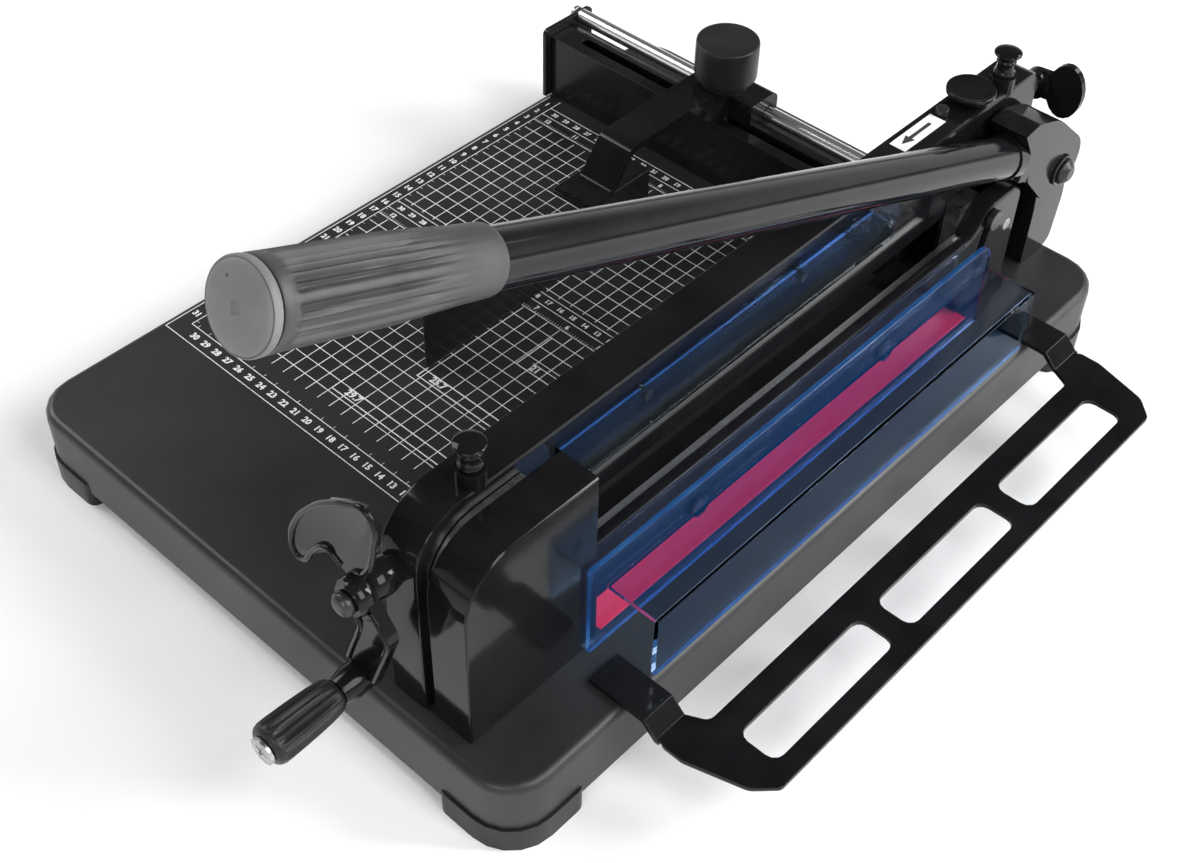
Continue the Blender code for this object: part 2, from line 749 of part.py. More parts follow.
def make_frame(parent, gloss, steel, white):
    corners = [(-BEAM_FRONT, SEAT_GAP), (-COLUMN_FRONT, SEAT_GAP), (-COLUMN_FRONT, BEAM_UNDER),
               (COLUMN_BACK, BEAM_UNDER), (COLUMN_BACK, SEAT_GAP), (BEAM_BACK, SEAT_GAP),
               (BEAM_BACK, BEAM_TOP, BEAM_TAIL), (-BEAM_FRONT, BEAM_TOP, BEAM_NOSE)]
    frame = prism(rounded(corners, NOSE_STEPS), "X", -BEAM_LEFT, -BEAM_RIGHT)
    frame = soften(frame, BEAM_EDGE, on_level(0, -BEAM_LEFT, -BEAM_RIGHT), 2)
    tools = []
    pocket_left = -BEAM_LEFT + POCKET_LEFT_WALL
    pocket_right = -BEAM_RIGHT - POCKET_RIGHT_WALL
    tools.append(box((pocket_left, -TONGUE_FRONT - CUT_OVERRUN, -CUT_OVERRUN),
                     (pocket_right, -COLUMN_FRONT + CUT_OVERRUN, BEAM_UNDER - POCKET_STEP)))
    tools.append(box((pocket_left, COLUMN_BACK - CUT_OVERRUN, -CUT_OVERRUN),
                     (pocket_right, TONGUE_BACK + CUT_OVERRUN, BEAM_UNDER - POCKET_STEP)))
    for place in frame_bolt_places()[:2]:
        tools.append(rod("Z", place, FRAME_BOLT_RADIUS + SEAT_GAP, -CUT_OVERRUN, FRAME_BOLT_DEEP + SEAT_GAP))
    frame = cut(frame, *tools)
    bores = []
    for y in rod_places().values():
        bores.append(rod("Z", (-ROD_X, y), ROD_RADIUS + RUN_GAP, BEAM_UNDER - 2 * CUT_OVERRUN,
                         BEAM_TOP + CUT_OVERRUN))
    frame = cut(frame, *bores)
    frame = cut(frame, rod("Y", (-SHAFT_X, SHAFT_Z), SHAFT_RADIUS + RUN_GAP,
                           -BEAM_FRONT - CUT_OVERRUN, BEAM_BACK + CUT_OVERRUN))
    room = PINION_RADIUS + PINION_MODULE + PINION_ROOM
    pockets = []
    for y in rod_places().values():
        pockets.append(box((-BEAM_LEFT - CUT_OVERRUN, y - PINION_THICK / 2 - RUN_GAP, SHAFT_Z - room),
                           (-ROD_X, y + PINION_THICK / 2 + RUN_GAP, SHAFT_Z + room)))
    frame = cut(frame, *pockets)
    bosses = []
    boss_bores = []
    for y in rod_places().values():
        bosses.append(rod("Z", (-ROD_X, y), CUP_RADIUS, BEAM_TOP - CUT_OVERRUN, BEAM_TOP + CUP_TALL,
                          ROUND_SIDES))
        boss_bores.append(rod("Z", (-ROD_X, y), ROD_RADIUS + RUN_GAP, BEAM_TOP - 2 * CUT_OVERRUN,
                              BEAM_TOP + CUP_TALL + CUT_OVERRUN))
    root = -BEAM_FRONT + CUT_OVERRUN
    tip = -BEAM_FRONT - SHAFT_BOSS_LONG
    neck = SHAFT_BOSS_RADIUS * BOSS_NECK_SHARE
    bosses.append(turned([(0, root), (neck, root), (SHAFT_BOSS_RADIUS, root - SHAFT_BOSS_LONG / 2),
                          (SHAFT_BOSS_RADIUS, tip + SHAFT_BOSS_LONG / 4), (neck, tip), (0, tip)],
                         "Y", (-SHAFT_X, SHAFT_Z)))
    bosses.append(rod("Y", (-SHAFT_X, SHAFT_Z), SHAFT_BOSS_RADIUS, BEAM_BACK - CUT_OVERRUN,
                      BEAM_BACK + REAR_BOSS_LONG, ROUND_SIDES))
    for low, high in ((tip - CUT_OVERRUN, root + CUT_OVERRUN),
                      (BEAM_BACK - 2 * CUT_OVERRUN, BEAM_BACK + REAR_BOSS_LONG + CUT_OVERRUN)):
        boss_bores.append(rod("Y", (-SHAFT_X, SHAFT_Z), SHAFT_RADIUS + RUN_GAP, low, high))
    holes = []
    for y, z in guide_places().values():
        holes.append(rod("X", (y, z), GUIDE_RADIUS + SEAT_GAP, -BEAM_LEFT - CUT_OVERRUN,
                         -BEAM_RIGHT + CUT_OVERRUN))
    holes.append(rod("Z", (-BRAKE_X, BRAKE_Y), BRAKE_STEM + SEAT_GAP, BEAM_TOP - BRAKE_STEM_DEEP,
                     BEAM_TOP + CUT_OVERRUN))
    holes.append(rod("Z", (-BRAKE_SCREW_X, BRAKE_SCREW_Y), BRAKE_SCREW_RADIUS + SEAT_GAP,
                     BEAM_TOP - BRAKE_SCREW_DEEP, BEAM_TOP + CUT_OVERRUN, TINY_SIDES))
    for y in guard_screw_places():
        holes.append(rod("X", (y, GUARD_TOP - GUARD_THICK - GUARD_FLANGE / 2), GUARD_SCREW_RADIUS + SEAT_GAP,
                         -BEAM_RIGHT - GUARD_SCREW_DEEP, -BEAM_RIGHT + CUT_OVERRUN, TINY_SIDES))
    frame = cut(frame, *holes)
    piece("main_frame", cut(fused(frame, *bosses), *boss_bores), gloss, parent)

    names = ("front_frame_bolt", "back_frame_bolt", "post_bolt")
    under = -TABLE_WALL - SEAT_GAP
    for name, place in zip(names, frame_bolt_places()):
        bolt = turned([(0, under - FRAME_BOLT_HEAD_THICK), (FRAME_BOLT_HEAD, under - FRAME_BOLT_HEAD_THICK),
                       (FRAME_BOLT_HEAD, under), (FRAME_BOLT_RADIUS, under),
                       (FRAME_BOLT_RADIUS, FRAME_BOLT_DEEP), (0, FRAME_BOLT_DEEP)], "Z", place, SMALL_SIDES)
        piece(name, bolt, steel, parent)

    label_left = -LABEL_X - LABEL_WIDE / 2
    label = box((label_left, -LABEL_LONG, BEAM_TOP + SEAT_GAP),
                (label_left + LABEL_WIDE, 0.0, BEAM_TOP + SEAT_GAP + LABEL_THICK))
    piece("arrow_label", label, white, parent)


def guard_screw_places():
    """Screws along the top guard's flange."""
    places = []
    for index in range(GUARD_SCREWS):
        share = (2 * index + 1) / (2 * GUARD_SCREWS)
        places.append(-GUARD_FAR + share * (GUARD_FAR - GUARD_NEAR))
    return places


def make_guides(parent, steel, zinc):
    """Blocks between frame and carrier, and the bolts that the carrier's slots ride on."""
    left = -BEAM_RIGHT + SEAT_GAP
    right = -SEAT_GAP
    cover_under = COVER_TOP - COVER_WALL
    blocks = {"front_guide_block": (-GUIDE_BLOCK_FRONT_FAR, -GUIDE_BLOCK_FRONT_NEAR, cover_under - SEAT_GAP),
              "back_guide_block": (GUIDE_BLOCK_BACK_NEAR, GUIDE_BLOCK_BACK_FAR, GUIDE_BLOCK_BACK_TOP)}
    for name, (far, near, top) in blocks.items():
        nose = COVER_NOSE - COVER_WALL if far < -TAB_Y else 0.0
        outline = rounded([(far, GUIDE_BLOCK_FOOT), (near, GUIDE_BLOCK_FOOT), (near, top), (far, top, nose)])
        block = prism(outline, "X", left, right)
        holes = []
        for y, z in list(guide_places().values()):
            if far < y < near:
                holes.append(rod("X", (y, z), GUIDE_RADIUS + SEAT_GAP, left - CUT_OVERRUN,
                                 right + CUT_OVERRUN))
        y, z = cover_bolt_place()
        if far < y < near:
            holes.append(rod("X", (y, z), BLOCK_BOLT_RADIUS + SEAT_GAP, left - CUT_OVERRUN,
                             right + CUT_OVERRUN))
        piece(name, cut(block, *holes), steel, parent)

    head_start = CARRIER_RIGHT + RUN_GAP
    for name, place in guide_places().items():
        bolt = turned([(0, -BEAM_LEFT), (GUIDE_RADIUS, -BEAM_LEFT), (GUIDE_RADIUS, head_start),
                       (GUIDE_HEAD, head_start), (GUIDE_HEAD, head_start + GUIDE_HEAD_THICK),
                       (0, head_start + GUIDE_HEAD_THICK)], "X", place, SMALL_SIDES)
        piece(name + "_guide_bolt", bolt, zinc, parent)

    head_start = SEAT_GAP + TAB_THICK + SEAT_GAP
    bolt = turned([(0, left), (BLOCK_BOLT_RADIUS, left), (BLOCK_BOLT_RADIUS, head_start),
                   (BLOCK_BOLT_HEAD, head_start), (BLOCK_BOLT_HEAD, head_start + BLOCK_BOLT_HEAD_THICK),
                   (0, head_start + BLOCK_BOLT_HEAD_THICK)], "X", cover_bolt_place(), SMALL_SIDES)
    piece("cover_bolt", bolt, zinc, parent)


def cover_bolt_place():
    return (-TAB_Y, COVER_TOP - COVER_WALL - TAB_DROP / 2)


def make_front_cover(parent, gloss):
    outline = rounded([(-COVER_FAR, SEAT_GAP), (-COVER_NEAR, SEAT_GAP), (-COVER_NEAR, COVER_TOP),
                       (-COVER_FAR, COVER_TOP, COVER_NOSE)], NOSE_STEPS)
    cover = soften(prism(outline, "X", -COVER_LEFT, COVER_RIGHT), COVER_WALL / 2, on_level(0, COVER_RIGHT), 2)
    inner = rounded([(-COVER_FAR + COVER_WALL, -CUT_OVERRUN), (-COVER_NEAR + CUT_OVERRUN, -CUT_OVERRUN),
                     (-COVER_NEAR + CUT_OVERRUN, COVER_TOP - COVER_WALL),
                     (-COVER_FAR + COVER_WALL, COVER_TOP - COVER_WALL, COVER_NOSE - COVER_WALL)], NOSE_STEPS)
    cover = cut(cover, prism(inner, "X", -COVER_LEFT - CUT_OVERRUN, COVER_RIGHT - COVER_WALL))
    tab = box((SEAT_GAP, -TAB_Y - TAB_LENGTH / 2, COVER_TOP - COVER_WALL - TAB_DROP),
              (SEAT_GAP + TAB_THICK, -TAB_Y + TAB_LENGTH / 2, COVER_TOP - COVER_WALL / 2))
    y, z = cover_bolt_place()
    hole = rod("X", (y, z), BLOCK_BOLT_RADIUS + SEAT_GAP, -SEAT_GAP, SEAT_GAP + TAB_THICK + CUT_OVERRUN)
    piece("front_cover", cut(fused(cover, tab), hole), gloss, parent)


def make_guards(parent, clear_blue, zinc):
    left = -BEAM_RIGHT + SEAT_GAP
    outline = rounded([(left, -GUARD_FAR), (GUARD_RIGHT, -GUARD_FAR),
                       (GUARD_RIGHT, -GUARD_NEAR, GUARD_END), (left, -GUARD_NEAR)])
    plate = prism(outline, "Z", GUARD_TOP - GUARD_THICK, GUARD_TOP)
    flange = box((left, -GUARD_FAR, GUARD_TOP - GUARD_THICK - GUARD_FLANGE),
                 (left + GUARD_THICK, -GUARD_NEAR, GUARD_TOP - GUARD_THICK / 2))
    guard = fused(plate, flange)
    holes = []
    z = GUARD_TOP - GUARD_THICK - GUARD_FLANGE / 2
    head_start = left + GUARD_THICK + SEAT_GAP
    tip = -BEAM_RIGHT - GUARD_SCREW_DEEP + SEAT_GAP
    for number, y in enumerate(guard_screw_places()):
        holes.append(rod("X", (y, z), GUARD_SCREW_RADIUS + SEAT_GAP, left - CUT_OVERRUN,
                         head_start + CUT_OVERRUN, TINY_SIDES))
        screw = turned([(0, tip), (GUARD_SCREW_RADIUS, tip), (GUARD_SCREW_RADIUS, head_start),
                        (GUARD_SCREW_HEAD, head_start),
                        (GUARD_SCREW_HEAD, head_start + GUARD_SCREW_HEAD_THICK),
                        (0, head_start + GUARD_SCREW_HEAD_THICK)], "X", (y, z), TINY_SIDES)
        piece(f"guard_screw_{number + 1}", screw, zinc, parent)
    piece("top_guard", cut(guard, *holes), clear_blue, parent)

    outer = box((SIDE_LEFT, -SIDE_FAR, SEAT_GAP), (SIDE_RIGHT, SIDE_NEAR, SIDE_TOP))
    screen = rounded([(-SIDE_FAR - SIDE_LIP, SEAT_GAP), (SIDE_NEAR, SEAT_GAP),
                      (SIDE_NEAR, SCREEN_TOP, SCREEN_CORNER), (-SIDE_FAR - SIDE_LIP, SCREEN_TOP)], NOSE_STEPS)
    screen = prism(screen, "X", SIDE_LEFT, SIDE_LEFT + SIDE_WALL)
    hollow = box((SIDE_LEFT + SIDE_WALL, -SIDE_FAR - CUT_OVERRUN, -CUT_OVERRUN),
                 (SIDE_RIGHT - SIDE_WALL, SIDE_NEAR + CUT_OVERRUN, SIDE_TOP - SIDE_WALL))
    arms = []
    for far, near in tray_arms():
        arms.append(box((TRAY_REST_START - SEAT_GAP, far - SEAT_GAP, -CUT_OVERRUN),
                        (SIDE_RIGHT + CUT_OVERRUN, near + SEAT_GAP, TRAY_THICK + 2 * SEAT_GAP)))
    piece("side_guard", cut(fused(cut(outer, hollow), screen), *arms), clear_blue, parent)


def tray_arms():
    """The two arms of the tray frame that lie on the table, as spans along Y."""
    return [(-TRAY_FRONT_ARM_FAR, -TRAY_FRONT_ARM_NEAR), (TRAY_BACK_ARM_NEAR, TRAY_BACK_ARM_FAR)]


def make_tray(parent, gloss):
    """A flat frame with windows: two arms on the table, a step down and the ladder beside the table."""
    low = SEAT_GAP - TRAY_DROP
    outline = rounded([(TRAY_JOG_END, -TRAY_FRONT_HOOK, TRAY_RAIL / 2),
                       (TRAY_SHOULDER, -TRAY_FRONT_HOOK, TRAY_RAIL),
                       (TRAY_CORNER_IN, -TRAY_FRONT_OUT, TRAY_RAIL),
                       (TRAY_RIGHT, -TRAY_FRONT_OUT + TRAY_RAIL, TRAY_RAIL / 2),
                       (TRAY_RIGHT, TRAY_BACK_OUT - TRAY_RAIL, TRAY_RAIL / 2),
                       (TRAY_CORNER_IN, TRAY_BACK_OUT, TRAY_RAIL),
                       (TRAY_SHOULDER, TRAY_BACK_HOOK, TRAY_RAIL),
                       (TRAY_JOG_END, TRAY_BACK_HOOK, TRAY_RAIL / 2),
                       (TRAY_JOG_END, TRAY_BACK_ARM_NEAR),
                       (TRAY_BAR_LEFT, TRAY_BACK_ARM_NEAR - TRAY_RAIL / 2, TRAY_RAIL / 2),
                       (TRAY_BAR_LEFT, -TRAY_FRONT_ARM_NEAR + TRAY_RAIL / 2, TRAY_RAIL / 2),
                       (TRAY_JOG_END, -TRAY_FRONT_ARM_NEAR)])
    ladder = prism(outline, "Z", low, low + TRAY_THICK)
    windows = []
    pitch = (TRAY_WINDOW_FAR + TRAY_WINDOW_NEAR + TRAY_CROSS) / TRAY_WINDOWS
    for index in range(TRAY_WINDOWS):
        far = -TRAY_WINDOW_FAR + index * pitch
        near = far + pitch - TRAY_CROSS
        window = rounded([(TRAY_BAR_RIGHT, far, TRAY_WINDOW_CORNER),
                          (TRAY_RIGHT - TRAY_RAIL, far, TRAY_WINDOW_CORNER),
                          (TRAY_RIGHT - TRAY_RAIL, near, TRAY_WINDOW_CORNER),
                          (TRAY_BAR_RIGHT, near, TRAY_WINDOW_CORNER)], 3)
        windows.append(prism(window, "Z", low - CUT_OVERRUN, low + TRAY_THICK + CUT_OVERRUN))
    ladder = cut(ladder, *windows)
    step = TRAY_THICK / 2
    side = [(TRAY_REST_START, SEAT_GAP), (TRAY_JOG_START, SEAT_GAP), (TRAY_JOG_END - step, low),
            (TRAY_JOG_END + step, low), (TRAY_JOG_END + step, low + TRAY_THICK),
            (TRAY_JOG_END, low + TRAY_THICK), (TRAY_JOG_START + step, SEAT_GAP + TRAY_THICK),
            (TRAY_REST_START, SEAT_GAP + TRAY_THICK)]
    spans = [(-TRAY_FRONT_ARM_FAR, -TRAY_FRONT_ARM_NEAR), (TRAY_BACK_ARM_NEAR, TRAY_BACK_HOOK)]
    tray = ladder
    for far, near in spans:
        tray = fused(tray, prism(side, "Y", max(far, -TRAY_FRONT_HOOK), near))
    piece("tray_frame", tray, gloss, parent)


def make_post(parent, gloss, zinc):
    """The post that carries the lever's pivot, with its bolt, washers and nut."""
    outline = rounded([(POST_FRONT, SEAT_GAP), (POST_BACK_LOW, SEAT_GAP, POST_CORNER),
                       (POST_BACK_HIGH, POST_CURVE_Z, POST_CURVE_Z),
                       (PIVOT_Y + POST_HEAD, PIVOT_Z + POST_HEAD, POST_HEAD),
                       (PIVOT_Y - POST_HEAD, PIVOT_Z + POST_HEAD, POST_HEAD - SEAT_GAP),
                       (PIVOT_Y - POST_HEAD, PIVOT_Z - POST_HEAD, POST_CORNER),
                       (POST_FRONT, PIVOT_Z - 2 * POST_HEAD)])
    post = prism(outline, "X", -POST_LEFT, POST_RIGHT)
    bore = rod("X", (PIVOT_Y, PIVOT_Z), PIVOT_RADIUS + PIVOT_PLAY, -POST_LEFT - CUT_OVERRUN,
               POST_RIGHT + CUT_OVERRUN, ROUND_SIDES)
    x, y = frame_bolt_places()[2]
    bolt_hole = rod("Z", (x, y), FRAME_BOLT_RADIUS + SEAT_GAP, -CUT_OVERRUN, FRAME_BOLT_DEEP + SEAT_GAP)
    piece("pivot_post", cut(post, bore, bolt_hole), gloss, parent)

    near_face = LEVER_X + CHEEK_GAP / 2 + CHEEK_THICK
    far_face = LEVER_X - CHEEK_GAP / 2 - CHEEK_THICK
    washer_start = near_face + SEAT_GAP
    head_start = washer_start + WASHER_THICK + SEAT_GAP
    bolt_end = far_face - SEAT_GAP - NUT_THICK
    head_top = head_start + PIVOT_HEAD_THICK
    bolt = turned([(0, bolt_end), (PIVOT_RADIUS, bolt_end), (PIVOT_RADIUS, head_start),
                   (PIVOT_HEAD, head_start), (PIVOT_HEAD, head_start + PIVOT_HEAD_THICK / 3),
                   (PIVOT_HEAD * PIVOT_DOME_SHARE, head_top - PIVOT_HEAD_THICK / 3),
                   (PIVOT_HEAD / 2, head_top), (0, head_top)], "X", (PIVOT_Y, PIVOT_Z), ROUND_SIDES)
    piece("pivot_bolt", bolt, gloss, parent)
    washer = ring("X", (PIVOT_Y, PIVOT_Z), PIVOT_RADIUS + RUN_GAP, WASHER_RADIUS, washer_start,
                  washer_start + WASHER_THICK)
    piece("pivot_washer", washer, gloss, parent)
    nut = ring("X", (PIVOT_Y, PIVOT_Z), PIVOT_RADIUS + SEAT_GAP, WASHER_RADIUS,
               far_face - SEAT_GAP - NUT_THICK,
               far_face - SEAT_GAP)
    piece("pivot_nut", nut, zinc, parent)


def make_fence(parent, gloss, chrome, zinc):
    """Folded fence with a slot, its end plate, the chrome rod and the bracket at the rod's right end."""
    outer = box((-FENCE_LEFT + SEAT_GAP, 0.0, SEAT_GAP), (-FENCE_RIGHT, FENCE_DEEP, FENCE_TOP))
    hollow = box((-FENCE_LEFT - CUT_OVERRUN, FENCE_WALL, SEAT_GAP + FENCE_WALL),
                 (-FENCE_RIGHT + CUT_OVERRUN, FENCE_DEEP + CUT_OVERRUN, FENCE_TOP - FENCE_WALL))
    slot_mid = (FENCE_SLOT_NEAR + FENCE_SLOT_FAR) / 2
    slot_half = (FENCE_SLOT_FAR - FENCE_SLOT_NEAR) / 2
    slot = prism(stadium((-FENCE_SLOT_LEFT + slot_half, slot_mid), (-FENCE_SLOT_RIGHT - slot_half, slot_mid),
                         slot_half),
                 "Z", FENCE_TOP - FENCE_WALL - CUT_OVERRUN, FENCE_TOP + CUT_OVERRUN)
    fence = cut(cut(outer, hollow), slot)
    holes = []
    head_low = SEAT_GAP + FENCE_WALL + SEAT_GAP
    for index in range(FENCE_SCREWS):
        share = (2 * index + 1) / (2 * FENCE_SCREWS)
        place = (-FENCE_LEFT + share * (FENCE_LEFT - FENCE_RIGHT), FENCE_DEEP / 2)
        holes.append(rod("Z", place, FENCE_SCREW_RADIUS + SEAT_GAP, -CUT_OVERRUN,
                         SEAT_GAP + FENCE_WALL + CUT_OVERRUN))
        screw = turned([(0, SEAT_GAP), (FENCE_SCREW_RADIUS, SEAT_GAP), (FENCE_SCREW_RADIUS, head_low),
                        (FENCE_SCREW_HEAD, head_low), (FENCE_SCREW_HEAD, head_low + FENCE_SCREW_HEAD_THICK),
                        (0, head_low + FENCE_SCREW_HEAD_THICK)], "Z", place, SMALL_SIDES)
        piece(f"fence_screw_{index + 1}", screw, zinc, parent)
    piece("fence_channel", cut(fence, *holes), gloss, parent)

    outline = rounded([(-END_NEAR, SEAT_GAP), (END_FAR, SEAT_GAP), (END_FAR, END_TOP, END_CORNER),
                       (-END_NEAR, END_TOP, END_CORNER)])
    plate = prism(outline, "X", -END_LEFT, -FENCE_LEFT)
    hole = rod("X", (RAIL_ROD_Y, RAIL_ROD_Z), FENCE_SCREW_RADIUS + SEAT_GAP, -END_LEFT - CUT_OVERRUN,
               -FENCE_LEFT + CUT_OVERRUN)
    piece("fence_end_plate", cut(plate, hole), gloss, parent)

    middle = (RAIL_ROD_Y, RAIL_ROD_Z)
    rail = rod("X", middle, RAIL_ROD_RADIUS, -FENCE_LEFT + SEAT_GAP, -FENCE_RIGHT, ROUND_SIDES)
    bore = rod("X", middle, FENCE_SCREW_RADIUS + SEAT_GAP, -FENCE_LEFT - CUT_OVERRUN,
               -FENCE_LEFT + ROD_SCREW_HEAD * 2 + SEAT_GAP)
    piece("guide_rod", cut(rail, bore), chrome, parent)
    outside = -END_LEFT - SEAT_GAP
    screw = turned([(0, outside - ROD_SCREW_HEAD_THICK), (ROD_SCREW_HEAD, outside - ROD_SCREW_HEAD_THICK),
                    (ROD_SCREW_HEAD, outside), (FENCE_SCREW_RADIUS, outside),
                    (FENCE_SCREW_RADIUS, -FENCE_LEFT + ROD_SCREW_HEAD * 2),
                    (0, -FENCE_LEFT + ROD_SCREW_HEAD * 2)],
                   "X", middle, SMALL_SIDES)
    piece("rod_screw", screw, zinc, parent)

    bracket_left = -FENCE_RIGHT - BRACKET_WIDE
    bracket = box((bracket_left, FENCE_DEEP + SEAT_GAP, SEAT_GAP),
                  (bracket_left + BRACKET_THICK, RAIL_ROD_Y + 2 * RAIL_ROD_RADIUS, BRACKET_TOP))
    seat = rod("X", middle, RAIL_ROD_RADIUS + SEAT_GAP, bracket_left - CUT_OVERRUN,
               bracket_left + BRACKET_THICK + CUT_OVERRUN, ROUND_SIDES)
    piece("rod_bracket", cut(bracket, seat), gloss, parent)


def lever_point(u, n):
    """From places along and across the lever to (y, z)."""
    y = PIVOT_Y - u * math.cos(LEVER_ANGLE) + n * math.sin(LEVER_ANGLE)
    z = PIVOT_Z + u * math.sin(LEVER_ANGLE) + n * math.cos(LEVER_ANGLE)
    return (y, z)


def along_lever(solid):
    """Lays a solid made along Z on the lever's axis."""
    side = Vector((1, 0, 0))
    up = Vector((0, math.sin(LEVER_ANGLE), math.cos(LEVER_ANGLE)))
    out = Vector((0, -math.cos(LEVER_ANGLE), math.sin(LEVER_ANGLE)))
    start = Vector((LEVER_X, PIVOT_Y, PIVOT_Z)) + up * LEVER_OFFSET
    turn = Matrix((side, up, out)).transposed().to_4x4()
    solid.transform(Matrix.Translation(start) @ turn)
    return solid


def fluted(stations, flutes, axis="Z", centre=(0, 0)):
    """A barrel from stations (place along, radius, flute depth)."""
    solid = bmesh.new()
    count = 2 * flutes
    rings = []
    for along, radius, deep in stations:
        points = []
        for index in range(count):
            angle = 2 * math.pi * index / count
            here = radius - deep * (index % 2)
            a = centre[0] + here * math.cos(angle)
            b = centre[1] + here * math.sin(angle)
            points.append(solid.verts.new(point_on(axis, a, b, along)))
        rings.append(points)
    for first, second in zip(rings, rings[1:]):
        for index in range(count):
            nxt = (index + 1) % count
            solid.faces.new((first[index], second[index], second[nxt], first[nxt]))
    solid.faces.new(rings[0])
    solid.faces.new(rings[-1])
    bmesh.ops.recalc_face_normals(solid, faces=solid.faces)
    return solid


def drive_slot():
    """Ends and half width of the slot in which the drive pin runs, seen from the lever's rest place."""
    rest = Vector((-DRIVE_FORWARD, -DRIVE_DOWN))
    middle_radius = DRIVE_FORWARD - SLIDE_SHIFT / 2
    rest_angle = math.atan2(-rest.y, -rest.x)
    middle_angle = LEVER_SWING / 2
    mean = (rest_angle + middle_angle) / 2
    half = DRIVE_RADIUS + middle_radius * math.sin(abs(middle_angle - rest_angle) / 2) + RUN_GAP
    inner = (PIVOT_Y - middle_radius * math.cos(mean), PIVOT_Z - middle_radius * math.sin(mean))
    outer = (PIVOT_Y - rest.length * math.cos(mean), PIVOT_Z - rest.length * math.sin(mean))
    return inner, outer, half


def make_lever(parent, gloss, rubber):
    left = LEVER_X - CHEEK_GAP / 2
    right = LEVER_X + CHEEK_GAP / 2
    shape = rounded([(-HEAD_BACK, -HEAD_BACK, HEAD_BACK - RUN_GAP), (HEAD_BACK / 2, -HEAD_BACK, HEAD_ROUND),
                     (HEAD_CHIN_U, -HEAD_CHIN_N, HEAD_ROUND / 2), (HEAD_NOTCH_U, HEAD_NOTCH_N),
                     (HEAD_TIP_U, HEAD_TIP_N), (HEAD_BROW_U, HEAD_BROW_N, HEAD_ROUND / 2),
                     (HEAD_CREST_U, HEAD_CREST_N, HEAD_CREST_ROUND),
                     (-HEAD_BACK, HEAD_HEEL_N, HEAD_HEEL_ROUND)])
    outline = [lever_point(u, n) for u, n in shape]
    inner, outer, half = drive_slot()
    head = prism(outline, "X", left - CHEEK_THICK, right + CHEEK_THICK)
    hollow = [(-2 * HEAD_BACK, -2 * HEAD_BACK), (NOSE_START, -2 * HEAD_BACK), (NOSE_START, WEB_UNDER),
              (WEB_START, WEB_UNDER), (WEB_START, 2 * HEAD_CREST_N), (-2 * HEAD_BACK, 2 * HEAD_CREST_N)]
    head = cut(head, prism([lever_point(u, n) for u, n in hollow], "X", left, right))
    nose = [(NOSE_START, -NOSE_UNDER), (COLLAR_START + SEAT_GAP, -NOSE_UNDER),
            (COLLAR_START + SEAT_GAP, WEB_UNDER), (NOSE_START, WEB_UNDER + HEAD_CHIN_N)]
    head = fused(head, prism([lever_point(u, n) for u, n in nose], "X", left - CHEEK_THICK,
                             right + CHEEK_THICK))
    arm = prism(stadium((PIVOT_Y, PIVOT_Z), outer, half + ARM_STEEL), "X", left - CHEEK_THICK, left)
    head = fused(head, arm)
    spigot = TUBE_RADIUS - TUBE_WALL - SEAT_GAP
    collar = turned([(0, COLLAR_START), (COLLAR_RADIUS, COLLAR_START), (COLLAR_RADIUS, COLLAR_END),
                     (spigot, COLLAR_END), (spigot, SPIGOT_END), (0, SPIGOT_END)], "Z", (0, 0))
    head = fused(head, along_lever(collar))
    bore = rod("X", (PIVOT_Y, PIVOT_Z), PIVOT_RADIUS + RUN_GAP / 2, left - 2 * CHEEK_THICK,
               right + 2 * CHEEK_THICK,
               ROUND_SIDES)
    slot = prism(stadium(inner, outer, half), "X", left - CHEEK_THICK - CUT_OVERRUN, left + CUT_OVERRUN)
    piece("lever_head", cut(head, bore, slot), gloss, parent)

    tube = ring("Z", (0, 0), TUBE_RADIUS - TUBE_WALL, TUBE_RADIUS, TUBE_START, TUBE_END)
    piece("lever_tube", along_lever(tube), gloss, parent)

    neck_end = GRIP_START + GRIP_NECK
    grip = fluted([(GRIP_START, GRIP_NECK_RADIUS, 0), (neck_end, GRIP_RADIUS - GRIP_FLUTE_DEEP, 0),
                   (neck_end + 2 * GRIP_FLUTE_DEEP, GRIP_RADIUS, GRIP_FLUTE_DEEP),
                   (GRIP_END, GRIP_RADIUS, GRIP_FLUTE_DEEP)], GRIP_FLUTES)
    bore = rod("Z", (0, 0), TUBE_RADIUS + SEAT_GAP, GRIP_START - CUT_OVERRUN, TUBE_END + SEAT_GAP,
               ROUND_SIDES)
    piece("lever_grip", along_lever(cut(grip, bore)), rubber, parent)
    start = GRIP_END + SEAT_GAP
    top = start + CAP_THICK
    cap = turned([(0, start), (CAP_RADIUS, start), (CAP_RADIUS, top - CAP_DOME),
                  (CAP_RADIUS - CAP_DOME, top - CAP_DOME / 2), (CAP_RADIUS / 2, top),
                  (CAP_RECESS, top), (CAP_RECESS, top - CAP_RECESS_DEEP), (0, top - CAP_RECESS_DEEP)],
                 "Z", (0, 0), CAP_SIDES)
    piece("grip_cap", along_lever(cap), rubber, parent)


